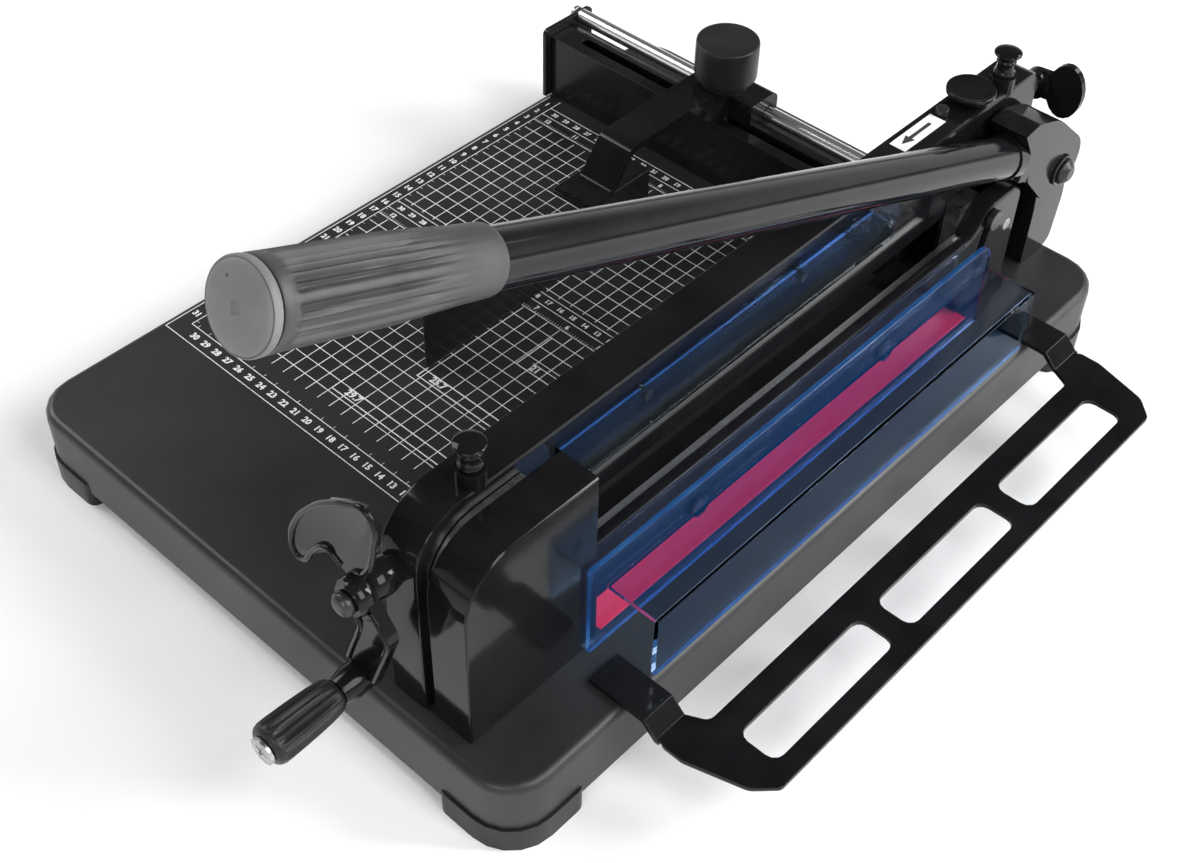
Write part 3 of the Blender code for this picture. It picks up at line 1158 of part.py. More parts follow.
def make_carrier(parent, gloss, blade_steel, zinc):
    """The sliding carrier with its slots, the blade and the drive pin."""
    outline = rounded([(-BLOCK_FRONT_FAR, BLOCK_UNDER), (-BLOCK_FRONT_NEAR, BLOCK_UNDER),
                       (-BLOCK_FRONT_NEAR, CARRIER_UNDER), (BLOCK_BACK_NEAR, CARRIER_UNDER),
                       (BLOCK_BACK_NEAR, BLOCK_UNDER), (BLOCK_BACK_FAR, BLOCK_UNDER),
                       (BLOCK_BACK_FAR, BLOCK_BACK_TOP, HEAD_ROUND),
                       (GUIDE_BACK_Y, BLOCK_BACK_TOP, HEAD_ROUND),
                       (BLOCK_BACK_NEAR, CARRIER_TOP, HEAD_ROUND),
                       (-BLOCK_FRONT_FAR, CARRIER_TOP, HEAD_ROUND / 2)], ARM_STEPS)
    body = prism(outline, "X", SEAT_GAP, CARRIER_RIGHT)
    body = soften(body, CARRIER_EDGE, on_level(0, CARRIER_RIGHT), 2)
    recess = box((-CUT_OVERRUN, -BLOCK_FRONT_NEAR, -CUT_OVERRUN),
                 (BLADE_THICK + SEAT_GAP, BLOCK_BACK_NEAR, CARRIER_TOP + CUT_OVERRUN))
    body = cut(body, recess)
    tools = []
    for y, z in guide_places().values():
        low = (y - SLIDE_SHIFT, z - SLIDE_RISE)
        tools.append(prism(stadium((y, z), low, GUIDE_RADIUS + RUN_GAP), "X", -CUT_OVERRUN,
                           CARRIER_RIGHT + CUT_OVERRUN))
    tools.append(rod("X", (DRIVE_Y, DRIVE_Z), DRIVE_RADIUS + SEAT_GAP, -CUT_OVERRUN,
                     CARRIER_RIGHT + CUT_OVERRUN))
    body = cut(body, *tools)
    places = []
    for index in range(BLADE_SCREWS):
        share = (2 * index + 1) / (2 * BLADE_SCREWS)
        places.append((-BLADE_FRONT + share * (BLADE_FRONT + BLADE_BACK), BLADE_SCREW_Z))
    hole = BLADE_SCREW_RADIUS + SEAT_GAP
    body = cut(body, *[rod("X", place, hole, BLADE_THICK - CUT_OVERRUN, CARRIER_RIGHT + CUT_OVERRUN,
                           TINY_SIDES)
                       for place in places])
    piece("blade_carrier", body, gloss, parent)

    edge_low = SEAT_GAP * 2
    profile = [(SEAT_GAP, BLADE_TALL), (SEAT_GAP, edge_low), (SEAT_GAP + BLADE_EDGE_LAND, edge_low),
               (BLADE_THICK, edge_low + BLADE_BEVEL_TALL), (BLADE_THICK, BLADE_TALL)]
    blade = prism(profile, "Y", -BLADE_FRONT, BLADE_BACK)
    blade = cut(blade, *[rod("X", place, hole, -CUT_OVERRUN, BLADE_THICK + CUT_OVERRUN, TINY_SIDES)
                         for place in places])
    piece("blade", blade, blade_steel, parent)
    head_start = CARRIER_RIGHT + SEAT_GAP
    for number, place in enumerate(places):
        screw = turned([(0, SEAT_GAP), (BLADE_SCREW_RADIUS, SEAT_GAP), (BLADE_SCREW_RADIUS, head_start),
                        (2 * BLADE_SCREW_RADIUS, head_start),
                        (2 * BLADE_SCREW_RADIUS, head_start + BLADE_SCREW_HEAD_THICK),
                        (0, head_start + BLADE_SCREW_HEAD_THICK)], "X", place, TINY_SIDES)
        piece(f"blade_screw_{number + 1}", screw, zinc, parent)
    pin = rod("X", (DRIVE_Y, DRIVE_Z), DRIVE_RADIUS, LEVER_X - CHEEK_GAP / 2 - CHEEK_THICK, CARRIER_RIGHT)
    piece("drive_pin", pin, zinc, parent)


def make_clamp(parent, gloss, steel):
    """The pressure bar under the beam, its two toothed rods and their knobs."""
    bar = box((-CLAMP_LEFT, -CLAMP_FAR, CLAMP_UNDER), (-CLAMP_RIGHT, CLAMP_NEAR, CLAMP_UNDER + CLAMP_TALL))
    tongue_left = -BEAM_LEFT + POCKET_LEFT_WALL + RUN_GAP
    tongue_right = -BEAM_RIGHT - POCKET_RIGHT_WALL - RUN_GAP
    tongue = box((tongue_left, -TONGUE_FRONT + RUN_GAP, CLAMP_UNDER),
                 (tongue_right, TONGUE_BACK - RUN_GAP, CLAMP_UNDER + CLAMP_TALL))
    bar = fused(bar, tongue)
    seat = CLAMP_UNDER + CLAMP_TALL / 2
    holes = [rod("Z", (-ROD_X, y), ROD_RADIUS + SEAT_GAP, seat, CLAMP_UNDER + CLAMP_TALL + CUT_OVERRUN)
             for y in rod_places().values()]
    piece("clamp_bar", cut(bar, *holes), gloss, parent)

    rod_top = BEAM_TOP + SEAT_GAP + CUP_TALL + KNOB_NECK_TALL
    pitch_x = -SHAFT_X + PINION_RADIUS
    for name, y in rod_places().items():
        body = rod("Z", (-ROD_X, y), ROD_RADIUS, seat + SEAT_GAP, rod_top)
        body = cut(body, rack_cutter(pitch_x, y))
        piece(name + "_clamp_rod", body, steel, parent)
        base = BEAM_TOP + CUP_TALL + RUN_GAP * 2
        neck = rod_top + SEAT_GAP
        top = neck + KNOB_NECK_TALL + KNOB_TALL
        bead = KNOB_NECK_TALL / 3
        knob = turned([(ROD_RADIUS + SEAT_GAP, base), (KNOB_BEAD_RADIUS, base),
                       (KNOB_BEAD_RADIUS, base + bead),
                       (KNOB_NECK_RADIUS + SEAT_GAP, base + 2 * bead),
                       (KNOB_NECK_RADIUS + SEAT_GAP, neck + bead),
                       (KNOB_RADIUS - KNOB_ROUND, top - KNOB_TALL),
                       (KNOB_RADIUS, top - KNOB_TALL + KNOB_ROUND), (KNOB_RADIUS, top - KNOB_ROUND),
                       (KNOB_RADIUS - KNOB_ROUND, top), (0, top), (0, neck),
                       (ROD_RADIUS + SEAT_GAP, neck)], "Z", (-ROD_X, y))
        piece(name + "_rod_knob", knob, gloss, parent)


def rack_cutter(pitch_x, y):
    """The spaces between a rack's teeth, joined by a plate that flattens the rod's side."""
    pitch = math.pi * PINION_MODULE
    tip_x = pitch_x - PINION_MODULE
    root_x = pitch_x + RACK_ROOT_SHARE * PINION_MODULE
    lean = math.tan(PRESSURE_ANGLE)
    outline = [(tip_x - 2 * ROD_RADIUS, RACK_HIGH), (tip_x - 2 * ROD_RADIUS, RACK_LOW), (tip_x, RACK_LOW)]
    space = SHAFT_Z - pitch * math.floor((SHAFT_Z - RACK_LOW - pitch / 2) / pitch)
    while space + pitch / 2 < RACK_HIGH:
        wide = pitch / 4 + PINION_PLAY / 2
        root_half = wide - lean * RACK_ROOT_SHARE * PINION_MODULE
        tip_half = wide + lean * PINION_MODULE
        outline += [(tip_x, space - tip_half), (root_x, space - root_half), (root_x, space + root_half),
                    (tip_x, space + tip_half)]
        space += pitch
    outline.append((tip_x, RACK_HIGH))
    return prism(outline, "Y", y - 2 * ROD_RADIUS, y + 2 * ROD_RADIUS)


def pinion_outline():
    """Straight-sided teeth, one of them pointing at the rod."""
    outline = []
    step = 2 * math.pi / PINION_TEETH
    half = step / 4 - PINION_PLAY / (2 * PINION_RADIUS)
    root = PINION_RADIUS - TOOTH_ROOT_SHARE * PINION_MODULE
    tip = PINION_RADIUS + TOOTH_TIP_SHARE * PINION_MODULE
    profile = [(root, -TOOTH_FOOT_SHARE), (PINION_RADIUS, -1), (tip, -TOOTH_POINT_SHARE),
               (tip, TOOTH_POINT_SHARE), (PINION_RADIUS, 1), (root, TOOTH_FOOT_SHARE)]
    for tooth in range(PINION_TEETH):
        for radius, share in profile:
            angle = tooth * step + share * half
            outline.append((-SHAFT_X + radius * math.cos(angle), SHAFT_Z + radius * math.sin(angle)))
    return outline


def make_crank(parent, grip_parent, gloss, steel, zinc, pale):
    hub_back = -BEAM_FRONT - SHAFT_BOSS_LONG - 2 * SEAT_GAP
    hub_front = hub_back - CRANK_HUB_LONG
    centre = (-SHAFT_X, SHAFT_Z)
    shaft_front = hub_front - CRANK_NUT_THICK
    shaft_back = EAR_Y + EAR_THICK / 2
    shaft = rod("Y", centre, SHAFT_RADIUS, shaft_front, shaft_back)
    for y in rod_places().values():
        shaft = fused(shaft, prism(pinion_outline(), "Y", y - PINION_THICK / 2, y + PINION_THICK / 2))
    piece("clamp_shaft", shaft, steel, parent)

    grip_place = (-CRANK_GRIP_X, CRANK_GRIP_Z)
    bulge = (-CRANK_BULGE_X - CRANK_ARM_WIDE / 2, CRANK_BULGE_Z)
    arm = turned([(0, hub_front), (CRANK_HUB * HUB_RIM_SHARE, hub_front),
                  (CRANK_HUB, hub_front + CRANK_HUB_LONG / 4),
                  (CRANK_HUB, hub_back - CRANK_HUB_LONG / 4), (CRANK_HUB * HUB_RIM_SHARE, hub_back),
                  (0, hub_back)], "Y", centre)
    arm_front = hub_back - CRANK_THICK
    upper = prism(stadium(centre, bulge, CRANK_ARM_WIDE / 2), "Y", arm_front, hub_back)
    lower = prism(stadium(bulge, grip_place, CRANK_END), "Y", arm_front - SEAT_GAP, hub_back - SEAT_GAP)
    eye = turned([(0, arm_front - CRANK_BACKSET), (CRANK_END * EYE_RIM_SHARE, arm_front - CRANK_BACKSET),
                  (CRANK_END, arm_front - CRANK_BACKSET / 2), (CRANK_END, hub_back - 2 * SEAT_GAP),
                  (0, hub_back - 2 * SEAT_GAP)], "Y", grip_place)
    wing = prism(wing_outline(), "Y", hub_back - WING_THICK, hub_back - SEAT_GAP)
    arm = fused(arm, upper, lower, eye, wing)
    shaft_bore = rod("Y", centre, SHAFT_RADIUS + SEAT_GAP, hub_front - CUT_OVERRUN, hub_back + CUT_OVERRUN)
    pin_bore = rod("Y", grip_place, GRIP_PIN_RADIUS + SEAT_GAP, arm_front - CRANK_BACKSET - CUT_OVERRUN,
                   hub_back + CUT_OVERRUN)
    piece("crank_arm", cut(arm, shaft_bore, pin_bore), gloss, parent)
    nut = rod("Y", centre, CRANK_NUT_RADIUS, hub_front - SEAT_GAP - CRANK_NUT_THICK,
              hub_front - SEAT_GAP, NUT_SIDES)
    bore = rod("Y", centre, SHAFT_RADIUS + SEAT_GAP, hub_front - 2 * CRANK_NUT_THICK, hub_front + CUT_OVERRUN)
    piece("crank_nut", cut(nut, bore), zinc, parent)

    ear_back = EAR_Y + EAR_THICK / 2
    ear_front = EAR_Y - EAR_THICK / 2
    last = FULL_TURN - FULL_TURN / EAR_SIDES
    ear = prism(arc((-EAR_X, EAR_Z), EAR_WIDE / 2, 0, last, EAR_SIDES - 1), "Y", ear_front, ear_back)
    stretch = Matrix.Translation((-EAR_X, 0, EAR_Z)) @ Matrix.Diagonal((1, 1, EAR_TALL / EAR_WIDE, 1))
    ear.transform(stretch @ Matrix.Translation((EAR_X, 0, -EAR_Z)))
    neck = prism(stadium(centre, (-EAR_X, EAR_Z), EAR_HUB), "Y", ear_front, ear_back)
    hub = rod("Y", centre, EAR_HUB, ear_front - EAR_THICK, ear_back, ROUND_SIDES)
    bore = rod("Y", centre, SHAFT_RADIUS + SEAT_GAP, ear_front - 2 * EAR_THICK, ear_back + CUT_OVERRUN)
    piece("rear_paddle", cut(fused(ear, neck, hub), bore), gloss, parent)

    grip_back = arm_front - CRANK_BACKSET - SEAT_GAP
    grip_front = grip_back - SMALL_GRIP_LONG
    grip = fluted([(grip_front, SMALL_GRIP_RADIUS * SMALL_GRIP_FRONT_SHARE, 0),
                   (grip_front + SMALL_GRIP_FLUTE_DEEP, SMALL_GRIP_RADIUS, SMALL_GRIP_FLUTE_DEEP),
                   (grip_back - SMALL_GRIP_LONG / 4, SMALL_GRIP_RADIUS * SMALL_GRIP_WAIST_SHARE,
                    SMALL_GRIP_FLUTE_DEEP),
                   (grip_back - SMALL_GRIP_FLUTE_DEEP, SMALL_GRIP_RADIUS * SMALL_GRIP_NECK_SHARE,
                    SMALL_GRIP_FLUTE_DEEP),
                   (grip_back, SMALL_GRIP_RADIUS * SMALL_GRIP_TAIL_SHARE, 0)], SMALL_GRIP_FLUTES, "Y",
                   grip_place)
    bore = rod("Y", grip_place, SMALL_GRIP_BORE, grip_front - CUT_OVERRUN, grip_back + CUT_OVERRUN)
    piece("crank_grip", cut(grip, bore), pale, grip_parent)
    tip = grip_front - SEAT_GAP
    pin = turned([(0, tip - GRIP_PIN_HEAD_THICK), (GRIP_PIN_HEAD, tip - GRIP_PIN_HEAD_THICK),
                  (GRIP_PIN_HEAD, tip), (GRIP_PIN_RADIUS, tip), (GRIP_PIN_RADIUS, hub_back),
                  (0, hub_back)], "Y", grip_place, SMALL_SIDES)
    piece("grip_screw", pin, zinc, parent)


def wing_outline():
    """The crescent thumb wing on the crank's hub, from shares of its reach."""
    return [(-SHAFT_X + a * WING_REACH, SHAFT_Z + b * WING_REACH) for a, b in WING_SHARES]


def make_stop(parent, knob_parent, gloss, plastic):
    """The paper stop: a saddle on the rod, an arched arm, the stop plate and the lock knob."""
    fence_top = FENCE_TOP + SEAT_GAP
    toe = STOP_LIFT + STOP_TALL + SEAT_GAP
    outline = rounded([(SADDLE_NEAR, fence_top), (SADDLE_NEAR, ARM_TOP),
                       (-ARM_CREST_Y, ARM_TOP, ARM_ROUND),
                       (-ARM_DROP_Y, toe + ARM_WALL, ARM_ROUND / 2), (-ARM_TOE_Y, toe + ARM_WALL),
                       (-ARM_TOE_Y, toe), (-ARM_DROP_Y + ARM_WALL / 2, toe, ARM_ROUND),
                       (-ARM_CREST_Y + ARM_WALL / 2, ARM_TOP - ARM_WALL, ARM_ROUND / 2),
                       (-ARM_HEEL_Y - ARM_WALL, ARM_TOP - ARM_WALL, ARM_WALL),
                       (-ARM_HEEL_Y, fence_top)], ARM_STEPS)
    arm = prism(outline, "X", -ARM_LEFT, -ARM_RIGHT)
    saddle = prism(rounded([(LOCK_Y, fence_top), (SADDLE_NEAR, fence_top), (SADDLE_NEAR, SADDLE_UNDER),
                            (SADDLE_FAR, SADDLE_UNDER), (SADDLE_FAR, SADDLE_TOP, SADDLE_ROUND),
                            (LOCK_Y, SADDLE_TOP)]), "X", -SADDLE_LEFT, -SADDLE_RIGHT)
    bore = rod("X", (RAIL_ROD_Y, RAIL_ROD_Z), RAIL_ROD_RADIUS + RUN_GAP, -SADDLE_LEFT - CUT_OVERRUN,
               -SADDLE_RIGHT + CUT_OVERRUN, ROUND_SIDES)
    stud_bore = rod("Z", (-LOCK_X, LOCK_Y), LOCK_STUD_RADIUS + RUN_GAP, fence_top - CUT_OVERRUN,
                    ARM_TOP + CUT_OVERRUN)
    piece("slider_bracket", cut(fused(arm, saddle), bore, stud_bore), gloss, parent)

    low = STOP_LIFT
    top = STOP_LIFT + STOP_TALL
    wall = box((-STOP_X - STOP_WALL, -STOP_FAR, low), (-STOP_X, -STOP_NEAR, top))
    flange = prism(rounded([(-STOP_X - STOP_FLANGE, -STOP_FLANGE_FAR, STOP_WALL), (-STOP_X, -STOP_FLANGE_FAR),
                            (-STOP_X, -STOP_NEAR), (-STOP_X - STOP_FLANGE, -STOP_NEAR, STOP_WALL)], 3),
                   "Z", top - STOP_WALL, top)
    piece("paper_stop", fused(wall, flange), gloss, parent)

    shoulder = LOCK_UNDER
    axis = (-LOCK_X, LOCK_Y)
    foot_top = FENCE_TOP - FENCE_WALL - SEAT_GAP
    foot_under = foot_top - LOCK_FOOT_THICK
    rim = LOCK_RADIUS * LOCK_RIM_SHARE
    grip = fluted([(shoulder, rim, 0), (shoulder + STOP_WALL, LOCK_RADIUS, LOCK_FLUTE_DEEP),
                   (LOCK_TOP - STOP_WALL, LOCK_RADIUS, LOCK_FLUTE_DEEP), (LOCK_TOP, rim, 0)],
                  LOCK_FLUTES, "Z", axis)
    knob = fused(grip, rod("Z", axis, LOCK_STUD_RADIUS, foot_under, shoulder + STOP_WALL),
                 rod("Z", axis, LOCK_FOOT_RADIUS, foot_under, foot_top))
    piece("lock_knob", knob, plastic, knob_parent)


def make_brake(parent, fixed, gloss, zinc):
    low = BEAM_TOP - BRAKE_STEM_DEEP + RUN_GAP
    under = BEAM_TOP + BRAKE_STEM_UP
    top = under + BRAKE_THICK
    disc = turned([(0, low), (BRAKE_STEM, low), (BRAKE_STEM, under), (BRAKE_RADIUS - BRAKE_RIM, under),
                   (BRAKE_RADIUS, under + BRAKE_RIM), (BRAKE_RADIUS, top - BRAKE_RIM),
                   (BRAKE_RADIUS - BRAKE_RIM, top), (0, top)], "Z", (-BRAKE_X, BRAKE_Y))
    piece("brake_disc", disc, gloss, parent)
    tip = BEAM_TOP - BRAKE_SCREW_DEEP + SEAT_GAP
    head = BEAM_TOP + SEAT_GAP
    screw = turned([(0, tip), (BRAKE_SCREW_RADIUS, tip), (BRAKE_SCREW_RADIUS, head), (BRAKE_SCREW_HEAD, head),
                    (BRAKE_SCREW_HEAD, head + BRAKE_SCREW_TALL), (0, head + BRAKE_SCREW_TALL)],
                   "Z", (-BRAKE_SCREW_X, BRAKE_SCREW_Y), SMALL_SIDES)
    piece("brake_screw", screw, zinc, fixed)


def stand_on_base_centre(root):
    """Moves the whole so that the middle of its underside lies at the origin."""
    bpy.context.view_layer.update()
    low = Vector((math.inf, math.inf, math.inf))
    high = -low
    for item in bpy.data.objects:
        if item.type != "MESH":
            continue
        for vertex in item.data.vertices:
            spot = item.matrix_world @ vertex.co
            low = Vector(map(min, low, spot))
            high = Vector(map(max, high, spot))
    root.location = (-(low.x + high.x) / 2, -(low.y + high.y) / 2, -low.z)
    bpy.context.view_layer.update()


def build_cutter():
    clear_scene()
    paint = finish("satin_black")
    gloss = finish("gloss_black")
    dark_plastic = finish("black_plastic")
    rubber = finish("dark_rubber")
    blue = finish("clear_blue")
    red = finish("crimson")
    chrome = finish("chrome")
    steel = finish("plain_steel")
    edge = finish("blade_steel")
    zinc = finish("black_zinc")
    white = finish("label_white")

    root = group("cutter", (0, 0, 0), None)
    fixed = group("fixed_parts", (0, 0, 0), root)
    make_table(fixed, paint, steel, rubber, red)
    make_frame(fixed, gloss, steel, white)
    make_guides(fixed, steel, zinc)
    make_front_cover(fixed, gloss)
    make_guards(fixed, blue, zinc)
    make_tray(fixed, gloss)
    make_post(fixed, gloss, zinc)
    make_fence(fixed, gloss, chrome, zinc)
    lever = group("lever_pivot", (LEVER_X, PIVOT_Y, PIVOT_Z), root)
    make_lever(lever, gloss, rubber)
    carrier = group("carrier_slide", (LEVER_X, DRIVE_Y, DRIVE_Z), root)
    make_carrier(carrier, gloss, edge, zinc)
    clamp = group("clamp_slide", (-ROD_X, -ROD_FRONT_Y, BEAM_TOP), root)
    make_clamp(clamp, gloss, steel)
    crank = group("crank_axis", (-SHAFT_X, -BEAM_FRONT, SHAFT_Z), root)
    spinner = group("crank_grip_axis", (-CRANK_GRIP_X, -BEAM_FRONT, CRANK_GRIP_Z), crank)
    make_crank(crank, spinner, gloss, steel, zinc, dark_plastic)
    stop = group("stop_slide", (-STOP_X, RAIL_ROD_Y, RAIL_ROD_Z), root)
    knob = group("lock_knob_axis", (-LOCK_X, LOCK_Y, LOCK_UNDER), stop)
    make_stop(stop, knob, gloss, dark_plastic)
    brake = group("brake_axis", (-BRAKE_X, BRAKE_Y, BEAM_TOP), root)
    make_brake(brake, fixed, gloss, zinc)
    stand_on_base_centre(root)


build_cutter()
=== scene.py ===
# %% [markdown]
# # A stack paper cutter, finished over its engineering frame
#
# The cutter is a heavy desk machine: a low table printed with a measuring grid, a cast beam that
# holds a blade and a paper clamp, a long lever, a hand crank, a sliding paper stop and a flat catch
# tray with three windows. The frame that is loaded here already holds every rigid part in its real
# place. This lesson gives each part the rounded edges, the surface and the small details of the real one.

# %% Load the frame
import json
import math

import bpy
from mathutils import Matrix, Vector


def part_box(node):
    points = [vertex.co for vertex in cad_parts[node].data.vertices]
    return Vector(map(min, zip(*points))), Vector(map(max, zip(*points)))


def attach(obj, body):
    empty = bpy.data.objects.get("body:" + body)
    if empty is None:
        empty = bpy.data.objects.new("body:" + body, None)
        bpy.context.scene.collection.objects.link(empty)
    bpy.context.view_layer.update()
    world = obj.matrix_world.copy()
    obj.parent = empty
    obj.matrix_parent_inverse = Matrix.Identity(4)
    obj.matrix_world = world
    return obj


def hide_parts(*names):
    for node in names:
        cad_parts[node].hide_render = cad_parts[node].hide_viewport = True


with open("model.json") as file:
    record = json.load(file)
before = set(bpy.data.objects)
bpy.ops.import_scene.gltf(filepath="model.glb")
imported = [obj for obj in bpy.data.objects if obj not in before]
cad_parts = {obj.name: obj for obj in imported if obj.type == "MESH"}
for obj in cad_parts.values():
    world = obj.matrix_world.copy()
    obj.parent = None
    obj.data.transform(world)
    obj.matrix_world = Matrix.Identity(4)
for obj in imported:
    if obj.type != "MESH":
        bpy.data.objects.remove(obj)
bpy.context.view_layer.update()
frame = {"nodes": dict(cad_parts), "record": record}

# %% [markdown]
# ## Where things are
#
# A cutter is measured from one corner: where the cutting line meets the fence, on the table top.
# x grows to the side where the cut paper falls, y grows away from the operator, and z grows upwards.
# Places on the machine are given in millimetres from that corner, and `at` turns them into places in
# the scene. Lamps, bevels and grains are given in metres. Reading the corner from the frame itself
# keeps the two in step.

# %% The measuring corner
MM = 0.001
TABLE_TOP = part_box("base_housing")[1].z
CUT_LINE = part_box("main_frame")[0].x + 34 * MM
FENCE_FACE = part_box("fence_channel")[0].y


def at(x, y, z):
    """A place in the scene from millimetres measured at the cutter's corner."""
    return Vector((CUT_LINE + x * MM, FENCE_FACE + y * MM, TABLE_TOP + z * MM))


print("measuring corner:", at(0, 0, 0))

# %% [markdown]
# ## The camera
#
# The picture is taken from the front right, looking down at about 46 degrees, with the camera tipped
# by not quite 2 degrees. Three directions fix such a view: the one back towards the camera, the one
# to the right of the picture and the one up. They are the three columns of the camera's matrix.

# %% Camera
AROUND, DOWN, TIP = math.radians(41.28), math.radians(45.76), math.radians(1.886)
back = Vector((math.sin(AROUND) * math.cos(DOWN), -math.cos(AROUND) * math.cos(DOWN), math.sin(DOWN)))
level = Vector((math.cos(AROUND), math.sin(AROUND), 0))
upward = back.cross(level)
right = level * math.cos(TIP) + upward * math.sin(TIP)
upward = back.cross(right)

camera = bpy.data.objects.new("camera", bpy.data.cameras.new("camera"))
bpy.context.scene.collection.objects.link(camera)
SENSOR, LENS = 36, 50.31
camera.data.sensor_width = SENSOR
camera.data.lens = LENS
turn = Matrix((right, upward, back)).transposed().to_4x4()
camera.matrix_world = Matrix.Translation(at(354.64, -707.51, 670.67)) @ turn
bpy.context.scene.camera = camera
print("camera at", camera.location)

# %% [markdown]
# ## The studio
#
# Black gloss paint has hardly any colour of its own: it is drawn by what it mirrors. So the studio
# matters more here than on a matt object. A white floor gives the sides their grey sweep, and the
# walls of the room are light near the floor and fade to dark above, so that flat tops stay deep
# black while every rounded edge finds something bright to mirror. The floor is wide enough to be all
# that the camera sees behind the machine. Far from the lamps it turns grey.

# %% Floor
scene = bpy.context.scene
scene.view_settings.view_transform = "Standard"


def deselect():
    bpy.ops.object.select_all(action="DESELECT")


deselect()
bpy.ops.mesh.primitive_plane_add(size=40, location=(0, 0, 0))
floor = bpy.context.object
floor.name = "studio_floor"

paper = bpy.data.materials.new("white_floor")
paper.use_nodes = True
paper_shader = paper.node_tree.nodes["Principled BSDF"]
paper_shader.inputs["Base Color"].default_value = (0.93, 0.93, 0.935, 1)
paper_shader.inputs["Roughness"].default_value = 0.9
paper_shader.inputs["Specular IOR Level"].default_value = 0.1
floor.data.materials.append(paper)
print("floor:", floor.name)

# %% A room with light walls and a dark ceiling
world = bpy.data.worlds.new("room")
scene.world = world
world.use_nodes = True
nodes, links = world.node_tree.nodes, world.node_tree.links
direction = nodes.new("ShaderNodeTexCoord")
parts_of_direction = nodes.new("ShaderNodeSeparateXYZ")
fade = nodes.new("ShaderNodeMapRange")
fade.interpolation_type = "SMOOTHSTEP"
for socket, value in (("From Min", 0.10), ("From Max", 0.34), ("To Min", 0.95), ("To Max", 0.13)):
    fade.inputs[socket].default_value = value
links.new(direction.outputs["Generated"], parts_of_direction.inputs[0])
links.new(parts_of_direction.outputs["Z"], fade.inputs["Value"])
links.new(fade.outputs["Result"], nodes["Background"].inputs["Strength"])
nodes["Background"].inputs["Color"].default_value = (0.985, 0.985, 1, 1)


# %% Lamps
def soft_lamp(name, place, aim_height, width, height, watts):
    """A rectangular soft lamp that faces a point over the middle of the floor."""
    lamp = bpy.data.lights.new(name, "AREA")
    lamp.shape = "RECTANGLE"
    lamp.size, lamp.size_y = width, height
    lamp.energy = watts
    made = bpy.data.objects.new(name, lamp)
    scene.collection.objects.link(made)
    made.location = place
    ray = Vector((0, 0, aim_height)) - Vector(place)
    made.rotation_euler = ray.to_track_quat("-Z", "Y").to_euler()


soft_lamp("right_softbox", (1.9, -0.1, 1.7), 0.05, 0.9, 1.7, 36)
soft_lamp("edge_strip", (1.75, 1.30, 1.15), 0.05, 0.45, 1.5, 44)
soft_lamp("back_softbox", (0.95, 1.75, 1.4), 0.1, 1.3, 0.6, 18)
soft_lamp("left_softbox", (-1.9, -0.5, 1.6), 0.1, 1.0, 1.5, 28)
soft_lamp("front_softbox", (0.9, -2.1, 1.5), 0.1, 1.6, 0.9, 24)

# %% [markdown]
# ## Paint, rubber, steel and acrylic
#
# A finish is more than a colour. Each one here starts from a shader's plain values and adds some of
# what makes it real: a drift of gloss and shade and a fine relief. Many also get a painted highlight:
# a lighter colour along their sharp edges, where a rounded edge would mirror the lamps.
# The patterns read the object's own coordinates, so their grain stays the same size on every part.
# `start_finish` sets up the shader, and the small functions after it add one effect each.

# %% A finish and its effects
def start_finish(name, colour, roughness, metallic=0.0, **sockets):
    """A material whose even values sit on the shader's own sockets."""
    made = bpy.data.materials.new(name)
    made.use_nodes = True
    shader = made.node_tree.nodes["Principled BSDF"]
    shader.inputs["Base Color"].default_value = (*colour, 1)
    shader.inputs["Roughness"].default_value = roughness
    shader.inputs["Metallic"].default_value = metallic
    for socket, value in sockets.items():
        shader.inputs[socket.replace("_", " ")].default_value = value
    return made


def pattern(finish, scale, stretch, detail, distortion=0.0):
    """A cloudy noise on the part's own coordinates, drawn out along an axis where stretch is small."""
    nodes, links = finish.node_tree.nodes, finish.node_tree.links
    place = nodes.new("ShaderNodeTexCoord")
    shape = nodes.new("ShaderNodeMapping")
    shape.inputs["Scale"].default_value = stretch
    noise = nodes.new("ShaderNodeTexNoise")
    noise.inputs["Scale"].default_value = scale
    noise.inputs["Detail"].default_value = detail
    noise.inputs["Distortion"].default_value = distortion
    links.new(place.outputs["Object"], shape.inputs["Vector"])
    links.new(shape.outputs["Vector"], noise.inputs["Vector"])
    return noise


def spread(finish, source, low, high, start=0.3, end=0.7):
    """Turns a pattern from start..end into a number from low to high."""
    nodes, links = finish.node_tree.nodes, finish.node_tree.links
    node = nodes.new("ShaderNodeMapRange")
    for socket, value in zip(("From Min", "From Max", "To Min", "To Max"), (start, end, low, high)):
        node.inputs[socket].default_value = value
    links.new(source, node.inputs["Value"])
    return node.outputs["Result"]


def drift_of_gloss(finish, low, high, scale=14, stretch=(1, 1, 1)):
    """Polish that comes and goes across the surface."""
    shader = finish.node_tree.nodes["Principled BSDF"]
    value = spread(finish, pattern(finish, scale, stretch, 5.0, 0.6).outputs["Fac"], low, high)
    finish.node_tree.links.new(value, shader.inputs["Roughness"])


def relief(finish, scale, height, strength, stretch=(1, 1, 1)):
    """A fine raised grain: height is in metres."""
    nodes, links = finish.node_tree.nodes, finish.node_tree.links
    bump = nodes.new("ShaderNodeBump")
    bump.inputs["Strength"].default_value = strength
    bump.inputs["Distance"].default_value = height
    links.new(pattern(finish, scale, stretch, 2.0).outputs["Fac"], bump.inputs["Height"])
    links.new(bump.outputs["Normal"], nodes["Principled BSDF"].inputs["Normal"])


